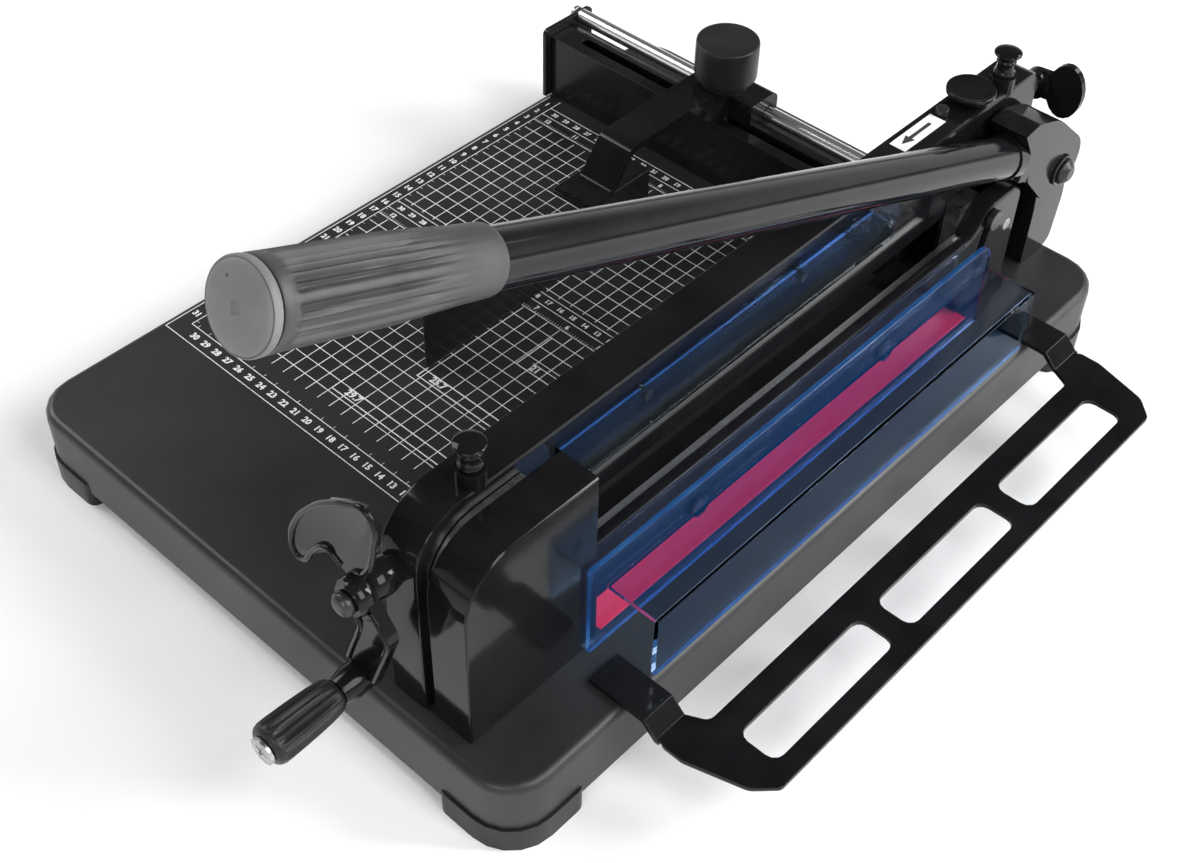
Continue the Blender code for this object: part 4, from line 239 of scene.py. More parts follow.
def colour_drift(finish, first, second, scale, stretch=(1, 1, 1)):
    """Two close shades that run into each other."""
    nodes, links = finish.node_tree.nodes, finish.node_tree.links
    mix = nodes.new("ShaderNodeMix")
    mix.data_type = "RGBA"
    mix.inputs["A"].default_value = (*first, 1)
    mix.inputs["B"].default_value = (*second, 1)
    share = spread(finish, pattern(finish, scale, stretch, 4.0, 0.3).outputs["Fac"], 0, 1, 0.35, 0.65)
    links.new(share, mix.inputs["Factor"])
    links.new(mix.outputs["Result"], nodes["Principled BSDF"].inputs["Base Color"])


def worn_edges(finish, highlight_colour, radius, strength):
    """A painted highlight: a lighter colour along sharp edges, broken up so that it isn't an even line.

    It is laid over the colour drift, so that one comes first."""
    nodes, links = finish.node_tree.nodes, finish.node_tree.links
    base_colour = nodes["Principled BSDF"].inputs["Base Color"]
    round_normal = nodes.new("ShaderNodeBevel")
    round_normal.samples = 4
    round_normal.inputs["Radius"].default_value = radius
    true_normal = nodes.new("ShaderNodeNewGeometry")
    likeness = nodes.new("ShaderNodeVectorMath")
    likeness.operation = "DOT_PRODUCT"
    links.new(round_normal.outputs["Normal"], likeness.inputs[0])
    links.new(true_normal.outputs["Normal"], likeness.inputs[1])
    edge = spread(finish, likeness.outputs["Value"], strength, 0.0, 0.80, 0.985)
    patchy = spread(finish, pattern(finish, 160, (1, 1, 1), 4.0).outputs["Fac"], 0.0, 1.0, 0.42, 0.62)
    both = nodes.new("ShaderNodeMath")
    both.operation = "MULTIPLY"
    links.new(edge, both.inputs[0])
    links.new(patchy, both.inputs[1])
    mix = nodes.new("ShaderNodeMix")
    mix.data_type = "RGBA"
    mix.inputs["B"].default_value = (*highlight_colour, 1)
    links.new(both.outputs["Value"], mix.inputs["Factor"])
    links.new(base_colour.links[0].from_socket, mix.inputs["A"])
    links.new(mix.outputs["Result"], base_colour)


# %% [markdown]
# The paints. The castings wear a thick gloss enamel: nearly black, a clear coat over it, and the faint
# ripple that a sprayed surface keeps. The table has a finer satin coat, which spreads a reflection out
# and so looks dark grey. The sheet parts of the fence and the stop sit between the two.

# %% Black paints
gloss_black = start_finish("gloss_enamel", (0.006, 0.006, 0.007), 0.10, Specular_IOR_Level=0.17,
                           Coat_Weight=0.06, Coat_Roughness=0.03)
drift_of_gloss(gloss_black, 0.07, 0.14)
colour_drift(gloss_black, (0.005, 0.005, 0.006), (0.009, 0.009, 0.010), 30)
# painted highlight: a lighter colour along the sharp edges
worn_edges(gloss_black, (0.06, 0.059, 0.058), 0.0007, 0.2)
relief(gloss_black, 520, 0.0002, 0.10)

satin_black = start_finish("satin_table_coat", (0.017, 0.017, 0.018), 0.36, Specular_IOR_Level=0.42)
drift_of_gloss(satin_black, 0.35, 0.45, 9)
colour_drift(satin_black, (0.014, 0.014, 0.015), (0.021, 0.021, 0.022), 18)
# painted highlight: a lighter colour along the sharp edges
worn_edges(satin_black, (0.06, 0.06, 0.06), 0.0010, 0.3)
relief(satin_black, 2400, 0.00012, 0.16)

sheet_black = start_finish("sheet_metal_enamel", (0.007, 0.007, 0.008), 0.20, Specular_IOR_Level=0.19,
                           Coat_Weight=0.08, Coat_Roughness=0.06)
drift_of_gloss(sheet_black, 0.15, 0.27, 20)
colour_drift(sheet_black, (0.006, 0.006, 0.007), (0.011, 0.011, 0.012), 35)
# painted highlight: a lighter colour along the sharp edges
worn_edges(sheet_black, (0.08, 0.079, 0.078), 0.0007, 0.3)
relief(sheet_black, 900, 0.00015, 0.12)
print("paints:", gloss_black.name, satin_black.name, sheet_black.name)

# %% [markdown]
# The lever's sleeve is a matt rubber. The lock knob, the crank's handle and the feet are a harder
# plastic with a slight sheen, and the other knobs are enamelled like the castings. Steel comes in four
# states: the polished rod, the ground blade, and plated and blackened screws.
# A ground or drawn surface has its scratches in one direction, which is a noise stretched along it.

# %% Rubber, plastic and steel
grip_rubber = start_finish("grip_rubber", (0.042, 0.042, 0.044), 0.46, Specular_IOR_Level=0.40)
drift_of_gloss(grip_rubber, 0.40, 0.54, 25)
colour_drift(grip_rubber, (0.036, 0.036, 0.038), (0.051, 0.051, 0.053), 45)
relief(grip_rubber, 2600, 0.00015, 0.35)

cap_rubber = start_finish("end_cap_rubber", (0.150, 0.150, 0.152), 0.50, Specular_IOR_Level=0.4)
drift_of_gloss(cap_rubber, 0.44, 0.58, 30)
colour_drift(cap_rubber, (0.135, 0.135, 0.137), (0.168, 0.168, 0.170), 50)
relief(cap_rubber, 1900, 0.0001, 0.2)

hard_plastic = start_finish("moulded_plastic", (0.014, 0.014, 0.015), 0.36, Specular_IOR_Level=0.26)
drift_of_gloss(hard_plastic, 0.33, 0.48, 22)
colour_drift(hard_plastic, (0.011, 0.011, 0.012), (0.018, 0.018, 0.019), 40)
# painted highlight: a lighter colour along the sharp edges
worn_edges(hard_plastic, (0.075, 0.075, 0.075), 0.0008, 0.5)
relief(hard_plastic, 2200, 0.00012, 0.22)

chrome = start_finish("polished_rod", (0.90, 0.90, 0.89), 0.24, 1.0)
drift_of_gloss(chrome, 0.18, 0.30, 60, (0.05, 1, 1))
colour_drift(chrome, (0.86, 0.86, 0.85), (0.94, 0.94, 0.93), 40, (0.1, 1, 1))
relief(chrome, 1500, 0.00002, 0.10, (0.02, 1, 1))

ground_steel = start_finish("ground_blade_steel", (0.55, 0.55, 0.56), 0.26, 1.0)
drift_of_gloss(ground_steel, 0.26, 0.30, 90, (1, 0.1, 1))
colour_drift(ground_steel, (0.52, 0.52, 0.53), (0.58, 0.58, 0.58), 12)
relief(ground_steel, 900, 0.00001, 0.05, (1, 0.03, 1))

zinc = start_finish("plated_screw_steel", (0.40, 0.40, 0.41), 0.30, 1.0)
drift_of_gloss(zinc, 0.22, 0.44, 90)
colour_drift(zinc, (0.30, 0.30, 0.31), (0.50, 0.50, 0.50), 120)
relief(zinc, 1800, 0.00004, 0.2)

black_oxide = start_finish("blackened_screw_steel", (0.03, 0.03, 0.032), 0.32, 0.6)
drift_of_gloss(black_oxide, 0.26, 0.42, 80)
colour_drift(black_oxide, (0.022, 0.022, 0.024), (0.045, 0.045, 0.046), 110)
# painted highlight: a lighter colour along the screw's edges
worn_edges(black_oxide, (0.30, 0.30, 0.30), 0.0006, 0.5)
relief(black_oxide, 1600, 0.00005, 0.2)
print("moulded:", grip_rubber.name, hard_plastic.name)
print("steel:", chrome.name, ground_steel.name, zinc.name)

# %% [markdown]
# The guards are clear acrylic, blue at the side and smoky on top. Light passes through the faces, and
# what is caught inside comes out at the cut edges, which look brighter than the sheet. On the standing
# screen a little of it is a painted glow, a faint blue emission. The upright wall is painted shade:
# a deeper blue copy of the sheet, which also mirrors less, so that the floor doesn't veil it. A renderer
# bends lamp light in glass and loses it, so everything behind would be black: the light that casts
# shadows is sent straight through a plain tinted filter, and only what is seen passes through the real
# glass.
# The cutting stick is a soft crimson plastic that takes knife marks; the scales are printed in white.

# %% Clear sheet
def lets_lamps_through(finish, tint):
    """Lamp light goes straight through, tinted, while the eye still sees real glass."""
    nodes, links = finish.node_tree.nodes, finish.node_tree.links
    clear = nodes.new("ShaderNodeBsdfTransparent")
    clear.inputs["Color"].default_value = (*tint, 1)
    rays = nodes.new("ShaderNodeLightPath")
    choose = nodes.new("ShaderNodeMixShader")
    links.new(rays.outputs["Is Shadow Ray"], choose.inputs[0])
    links.new(nodes["Principled BSDF"].outputs["BSDF"], choose.inputs[1])
    links.new(clear.outputs["BSDF"], choose.inputs[2])
    links.new(choose.outputs[0], nodes["Material Output"].inputs["Surface"])


def caught_light(finish, colour, strength):
    """A painted glow: a faint emission that stands for the light a dyed sheet leads along its inside and
    lets out again.
    """
    shader = finish.node_tree.nodes["Principled BSDF"]
    shader.inputs["Emission Color"].default_value = (*colour, 1)
    shader.inputs["Emission Strength"].default_value = strength


blue_acrylic = start_finish("blue_acrylic", (0.56, 0.67, 0.86), 0.0, Transmission_Weight=1.0, IOR=1.20)
colour_drift(blue_acrylic, (0.54, 0.65, 0.85), (0.58, 0.69, 0.87), 12)
lets_lamps_through(blue_acrylic, (0.90, 0.94, 0.98))

# painted shade: the upright wall is a darker blue copy of the same sheet; its low IOR makes it mirror less
shaded_wall_acrylic = start_finish("blue_acrylic_wall", (0.34, 0.55, 0.84), 0.0, Transmission_Weight=1.0, IOR=1.07)
colour_drift(shaded_wall_acrylic, (0.32, 0.53, 0.83), (0.36, 0.57, 0.85), 12)
lets_lamps_through(shaded_wall_acrylic, (0.90, 0.94, 0.98))

glowing_screen_acrylic = start_finish("blue_acrylic_screen", (0.56, 0.67, 0.90), 0.0,
                              Transmission_Weight=1.0, IOR=1.10)
colour_drift(glowing_screen_acrylic, (0.54, 0.65, 0.89), (0.58, 0.69, 0.91), 12)
# painted glow: the screen gives off a faint blue light of its own
caught_light(glowing_screen_acrylic, (0.0, 0.16, 0.52), 0.04)
lets_lamps_through(glowing_screen_acrylic, (0.90, 0.94, 0.98))

smoked_acrylic = start_finish("smoked_blue_acrylic", (0.36, 0.47, 0.56), 0.0,
                              Transmission_Weight=1.0, IOR=1.42)
colour_drift(smoked_acrylic, (0.33, 0.44, 0.53), (0.39, 0.50, 0.59), 12)
lets_lamps_through(smoked_acrylic, (0.80, 0.86, 0.92))

acrylic_edge = start_finish("acrylic_cut_edge", (0.04, 0.20, 0.52), 0.25, Transmission_Weight=0.75, IOR=1.35)
colour_drift(acrylic_edge, (0.03, 0.15, 0.44), (0.06, 0.26, 0.60), 70)
relief(acrylic_edge, 1400, 0.0001, 0.3)
lets_lamps_through(acrylic_edge, (0.88, 0.93, 0.99))
print("clear:", blue_acrylic.name, smoked_acrylic.name, acrylic_edge.name)

# %% Stick, print and label
crimson = start_finish("crimson_stick", (0.92, 0.012, 0.030), 0.36, Subsurface_Weight=0.1)
drift_of_gloss(crimson, 0.30, 0.50, 30)
colour_drift(crimson, (0.86, 0.010, 0.024), (0.96, 0.018, 0.040), 26, (1, 0.2, 1))
relief(crimson, 700, 0.0001, 0.25, (0.2, 1, 1))

print_white = start_finish("scale_print", (0.78, 0.78, 0.78), 0.5)
colour_drift(print_white, (0.68, 0.68, 0.68), (0.84, 0.84, 0.84), 220)
relief(print_white, 1800, 0.00002, 0.2)

label_white = start_finish("label_face", (0.80, 0.80, 0.79), 0.45)
drift_of_gloss(label_white, 0.38, 0.52, 60)
colour_drift(label_white, (0.76, 0.76, 0.75), (0.83, 0.83, 0.82), 80)
relief(label_white, 1500, 0.00002, 0.15)
label_black = start_finish("label_arrow_ink", (0.03, 0.03, 0.03), 0.4)
drift_of_gloss(label_black, 0.35, 0.5, 60)
colour_drift(label_black, (0.022, 0.022, 0.022), (0.04, 0.04, 0.04), 90)
print("coloured:", crimson.name, print_white.name, label_white.name)

# %% [markdown]
# ## Rounding the frame's own parts
#
# The engineering parts have the right shape but knife-sharp edges, and their curves are a row of flat
# facets. No real casting or folded sheet has such an edge, and it is the small rounding that catches
# the light. So each part is copied, its loose triangles are welded and its flat faces melted into
# one, and a bevel rolls the edges. The copy then stands for the frame's part and moves with its body.

# %% Copy, weld, round
finished = {}
body_of_part = {}
for body, members in frame["record"]["behaviour"]["bodies"].items():
    for member in members:
        body_of_part[member] = body


def clean_copy(part, name):
    """A welded copy of a frame part, with its flat faces in one piece, alone and selected."""
    deselect()
    source = frame["nodes"][part]
    made = bpy.data.objects.new(name, source.data.copy())
    scene.collection.objects.link(made)
    made.data.materials.clear()
    bpy.context.view_layer.objects.active = made
    made.select_set(True)
    bpy.ops.object.mode_set(mode="EDIT")
    bpy.ops.mesh.select_all(action="SELECT")
    bpy.ops.mesh.remove_doubles(threshold=0.00002)
    bpy.ops.mesh.dissolve_limited(angle_limit=math.radians(0.6))
    bpy.ops.object.mode_set(mode="OBJECT")
    return made


def roll_edges(piece, width, segments=2, angle=32):
    """A bevel on the sharp edges, applied, with smooth shading between them."""
    bpy.context.view_layer.objects.active = piece
    bevel = piece.modifiers.new("rolled_edges", "BEVEL")
    bevel.width = width
    bevel.segments = segments
    bevel.limit_method = "ANGLE"
    bevel.angle_limit = math.radians(angle)
    bevel.miter_outer = "MITER_ARC"
    bpy.ops.object.modifier_apply(modifier=bevel.name)
    deselect()
    piece.select_set(True)
    bpy.ops.object.shade_smooth_by_angle(angle=math.radians(angle + 6))
    even = piece.modifiers.new("flat_faces_stay_flat", "WEIGHTED_NORMAL")
    even.keep_sharp = True
    bpy.ops.object.modifier_apply(modifier=even.name)


def stands_for(piece, part, finish):
    """Gives a piece its finish and puts it in the place of a frame part."""
    piece.data.materials.clear()
    piece.data.materials.append(finish)
    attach(piece, body_of_part[part])
    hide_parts(part)
    finished[part] = piece


# %% Parts that keep their own shape, with the width of their rolled edges
plain_parts = {
    "base_housing": (satin_black, 0.0014), "base_cover": (zinc, 0.0004), "main_frame": (gloss_black, 0.0012),
    "pivot_post": (gloss_black, 0.0010), "front_cover": (gloss_black, 0.0012),
    "front_guide_block": (zinc, 0.0004), "back_guide_block": (zinc, 0.0004),
    "fence_channel": (sheet_black, 0.0005), "fence_end_plate": (sheet_black, 0.0006),
    "rod_bracket": (sheet_black, 0.0006), "guide_rod": (chrome, 0.0004), "stick_channel": (zinc, 0.0003),
    "cutting_stick": (crimson, 0.0005), "tray_frame": (gloss_black, 0.0012),
    "blade": (ground_steel, 0.0002), "blade_carrier": (gloss_black, 0.0006), "drive_pin": (zinc, 0.0004),
    "blade_screw_1": (black_oxide, 0.0004), "blade_screw_2": (black_oxide, 0.0004),
    "clamp_bar": (gloss_black, 0.0008), "clamp_shaft": (zinc, 0.0002),
    "front_clamp_rod": (zinc, 0.0002), "back_clamp_rod": (zinc, 0.0002),
    "lever_head": (gloss_black, 0.0020), "lever_tube": (gloss_black, 0.0004),
    "pivot_bolt": (black_oxide, 0.0005), "pivot_nut": (zinc, 0.0004), "pivot_washer": (black_oxide, 0.0003),
    "paper_stop": (sheet_black, 0.0006), "slider_bracket": (gloss_black, 0.0014),
    "rear_paddle": (gloss_black, 0.0008), "brake_screw": (black_oxide, 0.0004),
    "front_frame_bolt": (zinc, 0.0004), "back_frame_bolt": (zinc, 0.0004), "post_bolt": (zinc, 0.0004),
    "front_guide_bolt": (black_oxide, 0.0004), "back_guide_bolt": (black_oxide, 0.0004),
    "cover_bolt": (black_oxide, 0.0004), "fence_screw_1": (zinc, 0.0003), "fence_screw_2": (zinc, 0.0003),
    "guard_screw_1": (black_oxide, 0.0002), "guard_screw_2": (black_oxide, 0.0002),
    "rod_screw": (zinc, 0.0004),
    "foot_front_left": (hard_plastic, 0.0008), "foot_front_right": (hard_plastic, 0.0008),
    "foot_back_left": (hard_plastic, 0.0008), "foot_back_right": (hard_plastic, 0.0008),
    "arrow_label": (label_white, 0.0001),
}
for part, (finish, width) in plain_parts.items():
    piece = clean_copy(part, part + "_finished")
    roll_edges(piece, width)
    stands_for(piece, part, finish)
print("finished parts:", len(finished), "of", len(frame["nodes"]))

# %% [markdown]
# ## The printed scales
#
# The table is printed in white: a grid of one-centimetre squares, a ruler along the left side and
# one along the front, two ruler bands across it, and corner marks for common paper sizes. Ink has
# hardly any thickness, so it could be a pattern in the table's material. Here it is geometry a tenth
# of a millimetre thick: its lines stay crisp however close one looks, and its digits are real type.
# A bar of ink is a plane that is pressed up, and an array repeats it a fixed step apart.

# %% One printed line and its repeats
INK = 0.10
LINE = 0.5
LAYER = 0.02


def pressed_up(flat):
    """Gives the active flat piece the thickness of the ink."""
    bpy.ops.object.mode_set(mode="EDIT")
    bpy.ops.mesh.select_all(action="SELECT")
    bpy.ops.mesh.extrude_region_move(TRANSFORM_OT_translate={"value": (0, 0, INK * MM)})
    bpy.ops.mesh.select_all(action="SELECT")
    bpy.ops.mesh.remove_doubles(threshold=0.00001)
    bpy.ops.mesh.normals_make_consistent(inside=False)
    bpy.ops.object.mode_set(mode="OBJECT")
    return flat


def printed_bar(x0, y0, x1, y1, layer=0):
    """A bar of ink between two corners, in millimetres from the measuring corner."""
    deselect()
    low, high = at(x0, y0, layer * LAYER), at(x1, y1, layer * LAYER)
    bpy.ops.mesh.primitive_plane_add(size=1, location=(low + high) / 2)
    bar = bpy.context.object
    bar.scale = (high.x - low.x, high.y - low.y, 1)
    bpy.ops.object.transform_apply(location=True, rotation=True, scale=True)
    return pressed_up(bar)


def repeated(bar, step_x, step_y, count):
    """The same bar again and again, a fixed step apart."""
    array = bar.modifiers.new("repeat", "ARRAY")
    array.use_relative_offset = False
    array.use_constant_offset = True
    array.constant_offset_displace = (step_x * MM, step_y * MM, 0)
    array.count = count
    bpy.context.view_layer.objects.active = bar
    bpy.ops.object.modifier_apply(modifier=array.name)
    return bar


def joined(pieces, name):
    """Several meshes made one object."""
    deselect()
    for piece in pieces:
        piece.select_set(True)
    bpy.context.view_layer.objects.active = pieces[0]
    bpy.ops.object.join()
    pieces[0].name = pieces[0].data.name = name
    return pieces[0]


def printed(pieces, name):
    """Ink that lies on the table: it rides on the base and is finished in scale white."""
    piece = joined(pieces, name)
    piece.data.materials.append(print_white)
    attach(piece, "base")
    return piece


# %% [markdown]
# Two ruler bands cross the table, and the squares stop at each of them, so the lines are laid in two
# groups either way. Lines that cross lie on different layers, two hundredths of a millimetre apart,
# so that no two faces fight for the same place. Everything ends under the beam, short of the gap
# before the blade, where print would show through.

# %% Grid
GRID_LEFT, GRID_RIGHT, GRID_FRONT, GRID_BACK = -308.0, -56.0, -308.0, -32.0
CENTIMETRE = 10
half = LINE / 2
along = []
for near, far in ((GRID_FRONT, -172.0), (-152.0, GRID_BACK)):
    bar = printed_bar(-300 - half, near, -300 + half, far)
    along.append(repeated(bar, CENTIMETRE, 0, 25))
across = []
for first, lines in ((-300, 13), (-150, 12)):
    bar = printed_bar(GRID_LEFT, first - half, GRID_RIGHT, first + half, 1)
    across.append(repeated(bar, 0, CENTIMETRE, lines))
grid = printed(along + across, "table_grid")
print("grid:", len(grid.data.polygons), "faces")

# %% Ruler frames and paper corners
RULER_LEFT, RULER_RIGHT, RULER_FRONT, RULER_BACK = -320, -310, -330, -318.5
UPRIGHT_END = -3
BANDS = ((-29.5, -12.5), (-171.0, -154.5))
HEAVY = 0.7
frames = [printed_bar(RULER_LEFT - half, RULER_FRONT - half, RULER_LEFT + half, UPRIGHT_END),
          printed_bar(RULER_RIGHT - half, RULER_BACK - half, RULER_RIGHT + half, UPRIGHT_END),
          printed_bar(RULER_LEFT - half, RULER_FRONT - half, GRID_RIGHT, RULER_FRONT + half, 1),
          printed_bar(RULER_RIGHT - half, RULER_BACK - half, GRID_RIGHT, RULER_BACK + half, 1)]
for low, high in BANDS:
    for y in (low, (low + high) / 2, high):
        frames.append(printed_bar(RULER_RIGHT, y - half, GRID_RIGHT, y + half, 2))
marks = []
for x, y, back_end in ((-210, -297, -234), (-182.5, -256.5, -226), (-148.5, -210, -180)):
    marks.append(printed_bar(x - HEAVY / 2, y - HEAVY / 2, x + HEAVY / 2, back_end, 3))
    marks.append(printed_bar(x - HEAVY / 2, y - HEAVY / 2, GRID_RIGHT, y + HEAVY / 2, 2))
    marks.append(printed_bar(x + 7, y + 6.5, GRID_RIGHT, y + 6.5 + LINE, 2))
printed(frames + marks, "ruler_lines")

# %% Ruler ticks
TICK, FINE_TICK = 2.4, 2.2
side_tick = printed_bar(RULER_RIGHT, -315 - half / 2, RULER_RIGHT + TICK, -315 + half / 2, 2)
front_tick = printed_bar(-305 - half / 2, RULER_BACK, -305 + half / 2, -316, 2)
ticks = [repeated(side_tick, 0, CENTIMETRE, 29), repeated(front_tick, CENTIMETRE, 0, 25)]
for low, high in BANDS:
    fine_tick = printed_bar(GRID_LEFT - half / 3, low, GRID_LEFT + half / 3, low + FINE_TICK, 3)
    ticks.append(repeated(fine_tick, 2, 0, 126))
printed(ticks, "ruler_ticks")

# %% [markdown]
# Digits are typed, not drawn: a text object is set in Blender's own plain face, made a mesh, and
# given the thickness of the ink. The rulers count centimetres, and the front row of each band counts
# inches. They start at the fence and at the cutting line, because that is where the paper's edges
# lie. Beside each paper corner stands a plain number, the length of that sheet in centimetres.

# %% Digits
INCH = 25.4


def number(text, x, y, height, layer=0):
    """A printed number, centred on a place on the table."""
    deselect()
    bpy.ops.object.text_add(location=(0, 0, 0))
    typed = bpy.context.object
    typed.data.body = text
    typed.data.size = height * MM * 1.42
    typed.data.align_x, typed.data.align_y = "CENTER", "CENTER"
    typed.data.resolution_u = 2
    typed.data.extrude = INK * MM / 2
    typed.data.offset = height * MM * 0.05
    bpy.ops.object.convert(target="MESH")
    typed.location = at(x, y, INK / 2 + layer * LAYER)
    bpy.ops.object.transform_apply(location=True, rotation=True, scale=True)
    return typed


figures = [number(str(count), -315, -CENTIMETRE * count - 1, 3.9) for count in range(1, 32)]
figures += [number(str(count), -CENTIMETRE * count, -324.3, 4.0) for count in range(6, 31)]
for y in (-16.8, -158.7):
    figures += [number(str(count), -CENTIMETRE * count - 2, y, 3.3, 2) for count in range(6, 31)]
for count in range(3, 13):
    figures += [number(str(count), -INCH * count + 4, y, 3.3, 2) for y in (-25.2, -167.0)]
for text, x, y in (("29.7", -196, -293.2), ("25.7", -169, -252.8), ("21", -137, -206.4)):
    figures.append(number(text, x, y, 4.6, 1))
numbers = printed(figures, "ruler_numbers")
print("digits:", len(numbers.data.polygons), "faces")

# %% [markdown]
# ## The clear guards
#
# Each guard is one sheet of acrylic, bent while warm, with sawn and polished edges. Its copy gets the
# sheet's own finish on its broad faces, and the side guard's gets another on every narrow face, where
# the sheet was cut. A narrow face is told by its shape: its area is hardly more than its longest side
# times the thickness of the sheet. The side guard's upright faces are told by their normals, and by
# which side they are on: the screen stands next to the blade, the wall stands over the tray.

# %% Guards with bright edges
SHEET = 3 * MM
SCREEN_SIDE = 30


def clear_guard(part, sheet, cut_edge):
    """A guard whose narrow faces wear the edge's finish; the side guard's upright ones have their own."""
    piece = clean_copy(part, part + "_acrylic")
    for finish in (sheet, cut_edge, shaded_wall_acrylic, glowing_screen_acrylic):
        piece.data.materials.append(finish)
    for face in piece.data.polygons:
        corners = [piece.data.vertices[i].co for i in face.vertices]
        longest = max((a - b).length for a in corners for b in corners)
        face.material_index = int(face.area < 1.3 * SHEET * longest)
        # The side guard's upright faces take the painted-shade wall copy or the painted-glow screen copy.
        if part == "side_guard" and face.material_index == 0 and abs(face.normal.x) > 0.9:
            face.material_index = 3 if face.center.x < at(SCREEN_SIDE, 0, 0).x else 2
    roll_edges(piece, 0.25 * MM, 1)
    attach(piece, body_of_part[part])
    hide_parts(part)
    finished[part] = piece
    cut = sum(face.material_index == 1 for face in piece.data.polygons)
    print(part, "faces:", len(piece.data.polygons), "of them cut edges:", cut)


clear_guard("top_guard", smoked_acrylic, smoked_acrylic)
clear_guard("side_guard", blue_acrylic, acrylic_edge)

# %% [markdown]
# ## The lever's grip
#
# The sleeve is turned and then fluted: smooth where it meets the tube, fluted over most of its length,
# and smooth again in a narrow band before its end cap. It could be one cylinder with a bump pattern,
# but the flutes show on its outline, so they are modelled. A circle is drawn out ring by ring, as by
# hand with extrude and scale; then every third corner of the middle rings is pulled in, and a
# subdivision rounds the zigzag to narrow flutes between broad ribs. The piece is made upright and
# laid on the lever at the end.

# %% Drawing out a round bar
def drawn_out(name, sides, stations):
    """A circle drawn out along z through (place, radius) stations, in millimetres, closed at both ends."""
    deselect()
    place, radius = stations[0]
    bpy.ops.mesh.primitive_circle_add(vertices=sides, radius=radius * MM, fill_type="NGON",
                                      location=(0, 0, place * MM))
    piece = bpy.context.object
    piece.name = piece.data.name = name
    bpy.ops.object.transform_apply(location=True, rotation=True, scale=True)
    bpy.ops.object.mode_set(mode="EDIT")
    bpy.ops.mesh.select_all(action="SELECT")
    for next_place, next_radius in stations[1:]:
        bpy.ops.mesh.extrude_region_move(
            TRANSFORM_OT_translate={"value": (0, 0, (next_place - place) * MM)})
        if next_radius != radius:
            factor = next_radius / radius
            bpy.ops.transform.resize(value=(factor, factor, 1), center_override=(0, 0, next_place * MM))
        place, radius = next_place, next_radius
    bpy.ops.mesh.select_all(action="SELECT")
    bpy.ops.mesh.normals_make_consistent(inside=False)
    bpy.ops.object.mode_set(mode="OBJECT")
    return piece


def pull_in(piece, flutes, rings):
    """Pulls every third corner of some rings towards the axis: rings maps place to depth."""
    step = 2 * math.pi / (3 * flutes)
    for place, depth in rings.items():
        for vertex in piece.data.vertices:
            in_ring = abs(vertex.co.z - place * MM) < 0.01 * MM and vertex.co.xy.length > 4 * MM
            if in_ring and round(math.atan2(vertex.co.y, vertex.co.x) / step) % 3 == 0:
                vertex.co.xy *= 1 - depth * MM / vertex.co.xy.length


def rounded_off(piece):
    """One subdivision, applied, with smooth shading."""
    bpy.context.view_layer.objects.active = piece
    smooth = piece.modifiers.new("rounding", "SUBSURF")
    smooth.levels = smooth.render_levels = 1
    bpy.ops.object.modifier_apply(modifier=smooth.name)
    deselect()
    piece.select_set(True)
    bpy.ops.object.shade_smooth_by_angle(angle=math.radians(40))


def laid(piece, turn):
    """Puts an upright piece in its place on the machine, and its place into its mesh."""
    piece.matrix_world = turn
    deselect()
    piece.select_set(True)
    bpy.context.view_layer.objects.active = piece
    bpy.ops.object.transform_apply(location=True, rotation=True, scale=True)


LEVER_TILT = math.radians(22.55)
LEVER_OFFSET = 8.1 * MM
PIVOT = at(6, 84, 69)
lever_up = Vector((0, math.sin(LEVER_TILT), math.cos(LEVER_TILT)))
lever_out = Vector((0, -math.cos(LEVER_TILT), math.sin(LEVER_TILT)))
on_lever = Matrix((Vector((1, 0, 0)), lever_up, lever_out)).transposed().to_4x4()
on_lever = Matrix.Translation(PIVOT + lever_up * LEVER_OFFSET) @ on_lever

# %% Fluted sleeve
FLUTES = 34
grip = drawn_out("lever_grip_fluted", 3 * FLUTES, [
    (599.0, 12.8), (505.2, 12.8), (505.0, 13.4), (505.6, 14.1), (508.0, 14.3), (522.0, 14.6),
    (530.0, 15.1), (538.0, 15.7), (546.0, 16.2), (554.0, 16.5), (562.0, 16.7), (580.0, 16.9),
    (600.0, 16.95), (608.0, 17.0), (608.6, 17.0), (609.4, 17.0), (613.0, 17.0), (615.4, 17.0),
    (615.9, 16.4), (616.0, 12.0)])
pull_in(grip, FLUTES, {530.0: 0.3, 538.0: 0.9, 546.0: 1.7, 554.0: 2.3, 562.0: 2.6, 580.0: 2.7, 600.0: 2.7,
                       608.0: 2.5, 608.6: 1.6})
rounded_off(grip)
laid(grip, on_lever)
stands_for(grip, "lever_grip", grip_rubber)
print("grip:", len(grip.data.polygons), "faces")

# %% [markdown]
# The end cap is a shallow dome in a groove, with a gate mark in its middle and a vent hole near its
# rim, both left by the mould. The hole is cut with a boolean, because no ring of the dome passes
# round it.

# %% End cap
def cut_away(piece, tool, name):
    """A boolean, applied: what the tool covers is taken out of the piece, and the tool goes."""
    cut = piece.modifiers.new(name, "BOOLEAN")
    cut.operation, cut.object, cut.solver = "DIFFERENCE", tool, "EXACT"
    bpy.context.view_layer.objects.active = piece
    bpy.ops.object.modifier_apply(modifier=cut.name)
    bpy.data.objects.remove(tool, do_unlink=True)


